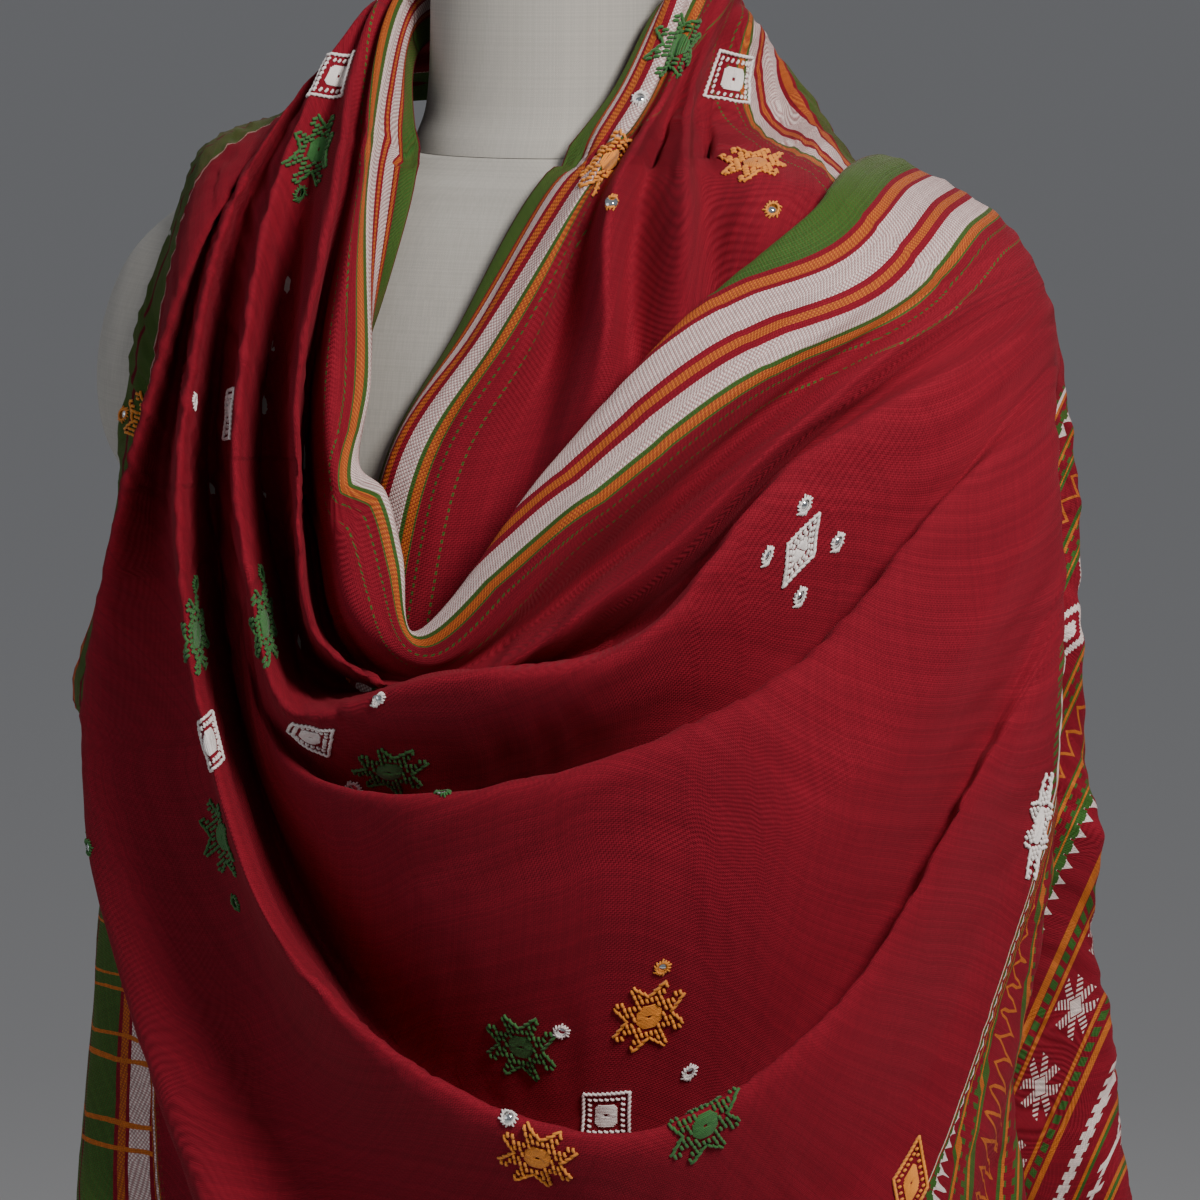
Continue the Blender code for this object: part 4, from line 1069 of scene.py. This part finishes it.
mirrorsSeen = (
    ("white", 805, 506), ("white", 838, 543), ("white", 801, 598), ("white", 768, 557),
    ("white", 562, 1032), ("white", 690, 1073), ("white", 509, 1118), ("orange", 663, 968),
    ("green", 195, 585), ("green", 261, 574), ("green", 237, 903), ("white", 379, 701),
    ("white", 355, 788), ("green", 443, 793), ("green", 300, 194), ("white", 194, 402),
    ("white", 230, 404), ("white", 640, 99), ("orange", 773, 210), ("orange", 612, 203),
)
figuresHidden = (               # on the sides that the picture hides: figure, colour, station, row of 16
    ("star", "orange", 23.6, 3.2), ("square", "white", 24.8, 3.0), ("star", "green", 26.0, 2.6),
    ("star", "orange", 25.4, 5.2),
    ("star", "green", 15.6, 13.4), ("square", "white", 16.6, 13.6), ("star", "orange", 17.6, 13.8),
    ("square", "white", 18.4, 13.6), ("star", "green", 19.2, 13.2), ("star", "orange", 13.6, 14.2),
)


def polar(reach, degrees):
    return np.array((reach * cos(radians(degrees)), reach * sin(radians(degrees))))


def runOf(start, end, width, length=2.6):
    # a line of overlapping stitches
    count = max(1, round(float(np.linalg.norm(end - start)) / length))
    step = (end - start) / count
    slant = np.array((-step[1], step[0])) * 0.12
    return [(start + step * i - slant, start + step * (i + 1.15) + slant, width) for i in range(count)]


def dotAt(place, width, length=1.3):
    return (place - (length / 2, 0.25), place + (length / 2, 0.25), width)


def starStitches():
    # four forked arms: a line down each side of the fork, and seed stitches behind it
    stitches, lines, outline = [], [], []
    for axis in (0, 90, 180, 270):
        notch = polar(stitching["starNotch"], axis)
        tips = [polar(stitching["starReach"], axis + side * stitching["armTurn"]) for side in (-1, 1)]
        corners = [polar(stitching["starReach"] + 0.5,
                         axis + side * (stitching["armTurn"] + stitching["armWiden"])) for side in (-1, 1)]
        valley = polar(stitching["starValley"], axis + 45)
        outline += [corners[0], tips[0], notch, tips[1], corners[1], valley]
        for tip in tips:
            lines.append((notch, tip))
            stitches += runOf(notch, tip, stitching["line"], 2.7)
    across, up = stitching["seedPitch"]
    rows, columns, half = stitching["seedRows"], stitching["seedColumns"], stitching["seedHalf"]
    for j in range(-rows, rows + 1):
        for i in range(-columns, columns + 1):
            place = np.array(((i + 0.5 * (j % 2)) * across, j * up))
            clear = min(awayFrom(place, *line) for line in lines) > stitching["seedClear"]
            if clear and np.hypot(*place) > stitching["starCentre"] + 1.0 and inside(place, outline):
                stitches.append((place - half, place + half, stitching["seed"]))
    return stitches + satin(stitching["starCentre"], 1.45)


def awayFrom(place, start, end):
    step = end - start
    part = np.clip((place - start) @ step / (step @ step), 0, 1)
    return np.hypot(*(place - start - step * part))


def inside(place, outline):
    found = False
    for (x, y), (nextX, nextY) in zip(outline, outline[1:] + outline[:1]):
        if (y > place[1]) != (nextY > place[1]):
            found ^= place[0] < x + (place[1] - y) / (nextY - y) * (nextX - x)
    return found


def satin(reach, corner):
    # side by side stitches that fill an octagon, or a square where corner is 2, round a small hole
    stitches = []
    for v in np.arange(-reach + 0.3, reach, 0.72):
        half = min(reach, corner * reach - abs(v))
        for start, end in ((-half, -0.9), (0.9, half)) if abs(v) < 0.6 else ((-half, half),):
            stitches.append((np.array((start, v)), np.array((end, v)), stitching["satin"]))
    return stitches


def sidesOf(corners):
    corners = [np.array(corner, float) for corner in corners]
    return zip(corners, corners[1:] + corners[:1])


def squareStitches():
    half, inner = stitching["squareHalf"], stitching["squareDots"]
    count = stitching["squareDotCount"]
    stitches = []
    for first, second in sidesOf(((-1, -1), (1, -1), (1, 1), (-1, 1))):
        stitches += runOf(first * half, second * half, stitching["line"], 2.2)
        for i in range(count):
            stitches.append(dotAt((first + (second - first) * i / count) * inner, stitching["dot"]))
    return stitches + satin(stitching["squareCentre"], 1.7)


def rhombusStitches():
    # the square turned on its corner, longer than wide, with its stitches down its length
    half = np.array(stitching["rhombusHalf"])
    stitches = []
    for first, second in sidesOf(((0, -1), (1, 0), (0, 1), (-1, 0))):
        stitches += runOf(first * half, second * half, stitching["line"], 2.4)
        for share, count in stitching["rhombusDots"]:
            for i in range(count):
                place = (first + (second - first) * i / count) * half * share
                stitches.append((place - (0.1, 0.7), place + (0.1, 0.7), stitching["dot"]))
    for u in np.arange(-3.0, 3.1, 0.75):
        reach = (1 - abs(u) / 4.2) * 5.0 + 0.6 * (round(u / 0.75) % 2)
        stitches.append((np.array((u, -reach)), np.array((u + 0.2, -0.3)), stitching["satin"]))
        stitches.append((np.array((u, 0.3)), np.array((u - 0.2, reach)), stitching["satin"]))
    turned = np.array(((cos(radians(45)), -sin(radians(45))), (sin(radians(45)), cos(radians(45)))))
    return [(turned @ start, turned @ end, width) for start, end, width in stitches]


def ringStitches():
    # uneven stitches outwards, and one line of thread round their inner ends
    stitches = []
    count, inner = stitching["ringStitches"], stitching["ringIn"]
    for i in range(count):
        turn = 360 * i / count
        reach = stitching["ringOut"] + 0.5 * sin(2.4 * i)
        stitches.append((polar(inner, turn), polar(reach, turn + 16), stitching["ring"]))
        line = [polar(inner + 0.25, degrees) for degrees in (turn, turn + 400 / count)]
        stitches.append((*line, stitching["ring"]))
    return stitches


threads = {colour: [] for colour in threadColours}
glassPlaces = []


def layStitches(stretch, column, row, stitches, colour, lifted=0.0):
    for start, end, width in stitches:
        thread = []
        for part, lift in ((0.0, 0.1), (0.3, 0.5), (0.7, 0.5), (1.0, 0.1)):
            u, v = (start + (end - start) * part) / 10
            c, r = stretch.shifted(column, row, u, v)
            height = (width * lift + lifted * (1 - part)) / 1000
            thread.append(stretch.at(stretch.points, c, r) + stretch.at(stretch.normals, c, r) * height)
        threads[colour].append((thread, width / 2000))


def addMirror(stretch, column, row, colour):
    normal = stretch.at(stretch.normals, column, row)
    lifted = stretch.at(stretch.points, column, row) + normal * stitching["glassLift"] / 1000
    glassPlaces.append((lifted, normal))
    layStitches(stretch, column, row, ringStitches(), colour, 0.55)


def rayThrough(x, y):
    onPlane = (viewRight * (x - view["seam"][0]) + viewUp * (view["seam"][1] - y)) * view["pixel"]
    eye = toWorld(viewEye)
    return Vector(eye), Vector(toWorld(onPlane) - eye).normalized()


def clothAt(x, y):
    # the stretch, column and row seen at a pixel
    eye, direction = rayThrough(x, y)
    hits = [(stretch.tree.ray_cast(eye, direction), stretch) for stretch in stretches]
    hit, stretch = min((item for item in hits if item[0][0] is not None), key=lambda item: item[0][3])
    return (stretch, *stretch.placeOf(hit[0]))


def placeHidden(station, row):
    stretch = tailStretch if station >= tailStart else frontStretch
    column = float(np.interp(station, stationPlaces, np.arange(columnCount))) - stretch.first
    return stretch, column, row / 16 * (rowCount - 1)


figureStitches = {"star": starStitches(), "square": squareStitches(), "rhombus": rhombusStitches()}
for figure, colour, x, y in figuresSeen:
    layStitches(*clothAt(x, y), figureStitches[figure], colour)
for colour, x, y in mirrorsSeen:
    addMirror(*clothAt(x, y), colour)
for figure, colour, station, row in figuresHidden:
    stretch, *place = placeHidden(station, row)
    layStitches(stretch, *place, figureStitches[figure], colour)
    for u, v in ((1, 0), (-1, 0), (0, 1), (0, -1)):
        reach = stitching["mirrorsRound"]
        addMirror(stretch, *stretch.shifted(*place, u * reach, v * reach), colour)
print("stitches laid", sum(len(group) for group in threads.values()))


def newTree(name, sockets):
    tree = bpy.data.node_groups.new(name, "GeometryNodeTree")
    tree.interface.new_socket("Geometry", in_out="INPUT", socket_type="NodeSocketGeometry")
    for label, kind in sockets:
        tree.interface.new_socket(label, in_out="INPUT", socket_type="NodeSocket" + kind)
    tree.interface.new_socket("Geometry", in_out="OUTPUT", socket_type="NodeSocketGeometry")
    return tree, Link(tree, tree.nodes.new("NodeGroupInput").outputs[0])


def endTree(start, geometry, material):
    whole = start.node("GeometryNodeRealizeInstances", None, {0: geometry})
    smooth = start.node("GeometryNodeSetShadeSmooth", None, {0: whole})
    done = start.node("GeometryNodeSetMaterial", None, {"Geometry": smooth, "Material": material})
    output = start.tree.nodes.new("NodeGroupOutput")
    start.tree.links.new(done.socket, output.inputs[0])


def threadTree():
    tree, start = newTree("threads along edges", (("Sides", "Int"), ("Material", "Material")))
    curve = start.node("GeometryNodeMeshToCurve", None, {"Mesh": start})
    width = start.node("GeometryNodeInputNamedAttribute", {"data_type": "FLOAT"}, {"Name": "width"})
    curve = start.node("GeometryNodeSetCurveRadius", None, {"Curve": curve, "Radius": width})
    profile = start.node("GeometryNodeCurvePrimitiveCircle", None,
                         {"Resolution": start.output("Sides"), "Radius": 1.0})
    tube = start.node("GeometryNodeCurveToMesh", None,
                      {"Curve": curve, "Profile Curve": profile, "Scale": width, "Fill Caps": True})
    endTree(start, tube, start.output("Material"))
    return tree


def glassTree():
    tree, start = newTree("mirrors on points",
                          (("Radius", "Float"), ("Depth", "Float"), ("Material", "Material")))
    disc = start.node("GeometryNodeMeshCylinder", None,
                      {"Vertices": 16, "Radius": start.output("Radius"), "Depth": start.output("Depth")})
    facing = start.node("GeometryNodeInputNamedAttribute", {"data_type": "FLOAT_VECTOR"}, {"Name": "facing"})
    turn = start.node("FunctionNodeAlignRotationToVector", {"axis": "Z"}, {"Vector": facing})
    discs = start.node("GeometryNodeInstanceOnPoints", None,
                       {"Points": start, "Instance": disc, "Rotation": turn})
    endTree(start, discs, start.output("Material"))
    return tree


def applied(name, mesh, tree, values):
    # the mesh after a Geometry Nodes tree, as a plain piece
    carrier = placed(name + "Carrier", mesh)
    modifier = carrier.modifiers.new("made", "NODES")
    modifier.node_group = tree
    for item in tree.interface.items_tree:
        if item.in_out == "INPUT" and item.name in values:
            modifier[item.identifier] = values[item.name]
    graph = bpy.context.evaluated_depsgraph_get()
    made = bpy.data.meshes.new_from_object(carrier.evaluated_get(graph))
    made.name = name
    bpy.data.objects.remove(carrier, do_unlink=True)
    return placed(name, made)


def makeThreadMaterial(name, colour):
    material, start = newMaterial(name, Sheen_Weight=0.2, Specular_IOR_Level=0.35)
    strands = noise(start, 2600.0, 1.0)
    shade = (0.72 + 0.5 * strands) * (0.8 + 0.4 * noise(start, 160.0, 2.0))
    wire(start, Base_Color=shaded(start, colour, shade), Roughness=0.55 + 0.2 * strands,
         Normal=bumped(start, strands * 0.00015, 0.8))
    return material


def makeGlassMaterial():
    material, start = newMaterial("mirror glass", Metallic=1.0, Base_Color=(0.82, 0.85, 0.86, 1.0))
    wire(start, Roughness=0.04 + 0.1 * noise(start, 700.0, 2.0))
    return material


embroidery = []
stitchTree = threadTree()
for name, group in threads.items():
    mesh = bpy.data.meshes.new("stitchPaths")
    mesh.from_pydata([tuple(point) for thread, _ in group for point in thread],
                     [(4 * i + j, 4 * i + j + 1) for i in range(len(group)) for j in range(3)], [])
    width = mesh.attributes.new("width", "FLOAT", "POINT")
    width.data.foreach_set("value", np.repeat([radius for _, radius in group], 4).astype(np.float32))
    material = makeThreadMaterial(name + " thread", threadColours[name])
    embroidery.append(applied(name + "Stitches", mesh, stitchTree,
                              {"Sides": stitching["sides"], "Material": material}))
mesh = bpy.data.meshes.new("glassPlaces")
mesh.from_pydata([tuple(point) for point, _ in glassPlaces], [], [])
facing = mesh.attributes.new("facing", "FLOAT_VECTOR", "POINT")
facing.data.foreach_set("vector", np.array([normal for _, normal in glassPlaces], np.float32).reshape(-1))
embroidery.append(applied("mirrors", mesh, glassTree(), {
    "Radius": stitching["glass"] / 1000, "Depth": stitching["glassDepth"] / 1000,
    "Material": makeGlassMaterial()}))
print("embroidery made", [len(piece.data.polygons) for piece in embroidery])


# the dress form
form = {
    "sides": 96,
    "rings": 4,                 # between two sections
    "thread": 0.00042,
    "linen": (0.50, 0.475, 0.43),
}
formSections = (                # height, half width, depth in front and behind, in cm
    (1.2, 6.3, 6.3, 6.3),
    (0.5, 9.2, 6.6, 6.9),
    (-0.1, 13.0, 7.0, 7.4),
    (-0.9, 16.2, 7.3, 7.8),
    (-2.2, 18.7, 7.9, 8.4),
    (-4.2, 20.8, 8.6, 9.0),
    (-7.2, 22.1, 9.4, 9.6),
    (-10.5, 22.4, 10.2, 10.0),
    (-13.0, 21.7, 10.7, 10.1),
    (-15.0, 20.0, 10.9, 10.0),
    (-17.0, 17.9, 11.1, 9.9),
    (-20.0, 16.4, 11.3, 9.7),
    (-26.0, 15.5, 11.0, 9.2),
    (-34.0, 13.5, 9.9, 8.5),
    (-40.0, 13.0, 9.6, 8.4),
    (-48.0, 14.9, 10.3, 9.8),
    (-57.0, 17.0, 11.0, 11.2),
    (-65.0, 17.4, 11.0, 11.4),
)
neckProfile = (                 # radius and height in cm, from the top down to the body
    (4.9, 12.6), (5.25, 12.2), (5.35, 8.0), (5.45, 4.5), (5.65, 2.9), (6.1, 1.73), (6.25, 1.23),
)


def makeLinen():
    material, start = newMaterial("form linen", Sheen_Weight=0.15, Specular_IOR_Level=0.25)
    u, v = mapOf(start, "cut")
    height, _, uNumber, vNumber = plainWeave(u / form["thread"], v / form["thread"])
    blotch = noise(start, 9.0, 4.0)
    # the thread height darkens the gaps between the threads: painted shade; the other factors are random
    # thread tone and blotches
    shade = (0.86 + 0.14 * height) * (0.95 + 0.1 * toneOf(start, uNumber))
    shade = shade * (0.96 + 0.08 * toneOf(start, vNumber + 0.5)) * (0.93 + 0.14 * blotch)
    wire(start, Base_Color=shaded(start, form["linen"], shade), Roughness=0.82 + 0.1 * blotch,
         Normal=bumped(start, height * 0.00012, 0.7))
    return material


def ringMesh(name, rings, material):
    # a loft of closed rings in cm with a lid at each end, and the cut's lengths as its map
    rings = np.array(rings)
    count, sides = rings.shape[:2]
    vertices = toWorld(rings.reshape(-1, 3)).tolist()
    faces = []
    around = np.linalg.norm(rings - np.roll(rings, 1, axis=1), axis=2)
    girth = np.cumsum(around, axis=1)
    down = np.concatenate(([0.0], np.cumsum(np.linalg.norm(np.diff(rings[:, 0], axis=0), axis=1))))
    cut = []
    for i in range(count - 1):
        for j in range(sides):
            k = (j + 1) % sides
            faces.append((i * sides + j, (i + 1) * sides + j, (i + 1) * sides + k, i * sides + k))
            endU = girth[i, j] + around[i, k]
            cut += [(girth[i, j], down[i]), (girth[i, j], down[i + 1]), (endU, down[i + 1]), (endU, down[i])]
    for ring in (range(sides), reversed(range((count - 1) * sides, count * sides))):
        faces.append(tuple(ring))
        cut += [tuple(point) for point in rings.reshape(-1, 3)[list(faces[-1]), :2]]
    mesh = bpy.data.meshes.new(name)
    mesh.from_pydata(vertices, [], faces)
    mesh.shade_smooth()
    mesh.set_sharp_from_angle(angle=radians(40))
    mesh.materials.append(material)
    layer = mesh.uv_layers.new(name="cut")
    layer.data.foreach_set("uv", (np.array(cut) * cm).astype(np.float32).reshape(-1))
    return placed(name, mesh)


roundForm = [towards(360 * side / form["sides"]) for side in range(form["sides"])]


def smoothTable(table):
    return smoothPath(table, evenPlaces(0, len(table) - 1, form["rings"]))


def bodyRings():
    power = drape["power"]
    for height, halfWidth, front, back in smoothTable(formSections):
        ring = []
        for x, y in roundForm:
            level = (abs(x) ** power + abs(y) ** power) ** (-1 / power)
            ring.append((x * level * halfWidth, y * level * (front if y < 0 else back), height))
        yield ring


def neckRings():
    return [[(radius * x, radius * y, height) for x, y in roundForm]
            for radius, height in smoothTable(neckProfile)]


linen = makeLinen()
formBody = ringMesh("formBody", list(bodyRings()), linen)
formNeck = ringMesh("formNeck", neckRings(), linen)
print("dress form built")

stand = {"darker": (0.018, 0.018, 0.02), "lighter": (0.035, 0.035, 0.038)}


def makeSteel():
    material, start = newMaterial("stand steel", Specular_IOR_Level=0.5)
    grain = noise(start, 60.0, 5.0)
    wire(start, Base_Color=mixed(grain, stand["darker"], stand["lighter"]), Roughness=0.42 + 0.16 * grain,
         Normal=bumped(start, noise(start, 900.0, 2.0) * 0.00006, 0.6))
    return material


steel = makeSteel()
for name in ("stand_pole", "stand_base"):
    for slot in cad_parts[name].material_slots:
        slot.material = steel


studio = {
    "floorReach": 60.0,         # metres
    "floor": (0.62, 0.61, 0.60, 1.0),
    "sky": (0.9, 0.93, 1.0, 1.0),
    "skyStrength": 0.22,
    "lamps": (                  # name, place and size in metres, watts, colour
        ("key", (1.3, -1.0, 2.4), 0.6, 44, (1.0, 0.97, 0.93)),
        ("fill", (-1.6, -1.9, 1.6), 1.8, 6, (0.95, 0.97, 1.0)),
        ("back", (-0.6, 1.9, 2.4), 1.2, 9, (1.0, 1.0, 1.0)),
    ),
}


def makeFloor():
    mesh = bpy.data.meshes.new("floor")
    reach = studio["floorReach"]
    mesh.from_pydata([(-reach, -reach, 0), (reach, -reach, 0), (reach, reach, 0), (-reach, reach, 0)], [],
                     [(0, 1, 2, 3)])
    mesh.materials.append(newMaterial("pale floor", Roughness=0.9, Base_Color=studio["floor"])[0])
    placed("floor", mesh)


def makeLamp(name, place, size, power, colour):
    data = bpy.data.lights.new(name, "AREA")
    data.shape = "DISK"
    data.size = size
    data.energy = power
    data.color = colour
    lamp = placed(name, data)
    lamp.location = place
    aim = Vector(toWorld(viewTarget)) - Vector(place)
    lamp.rotation_euler = aim.to_track_quat("-Z", "Y").to_euler()


def makeSky():
    world = bpy.data.worlds.new("studio")
    world.use_nodes = True
    background = world.node_tree.nodes["Background"]
    background.inputs["Color"].default_value = studio["sky"]
    background.inputs["Strength"].default_value = studio["skyStrength"]
    bpy.context.scene.world = world


makeFloor()
for lamp in studio["lamps"]:
    makeLamp(*lamp)
makeSky()
print("floor and light placed")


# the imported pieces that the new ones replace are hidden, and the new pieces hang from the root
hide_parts("shawl_right_fall", "shawl_front_swags")
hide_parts("shawl_neck_folds", "shawl_nape")
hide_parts("shawl_tail")
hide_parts("form_torso")
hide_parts("form_neck")
for piece in (shawlFront, shawlGathered, shawlTail, *embroidery):
    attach(piece, "root")
for piece in (formBody, formNeck):
    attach(piece, "root")
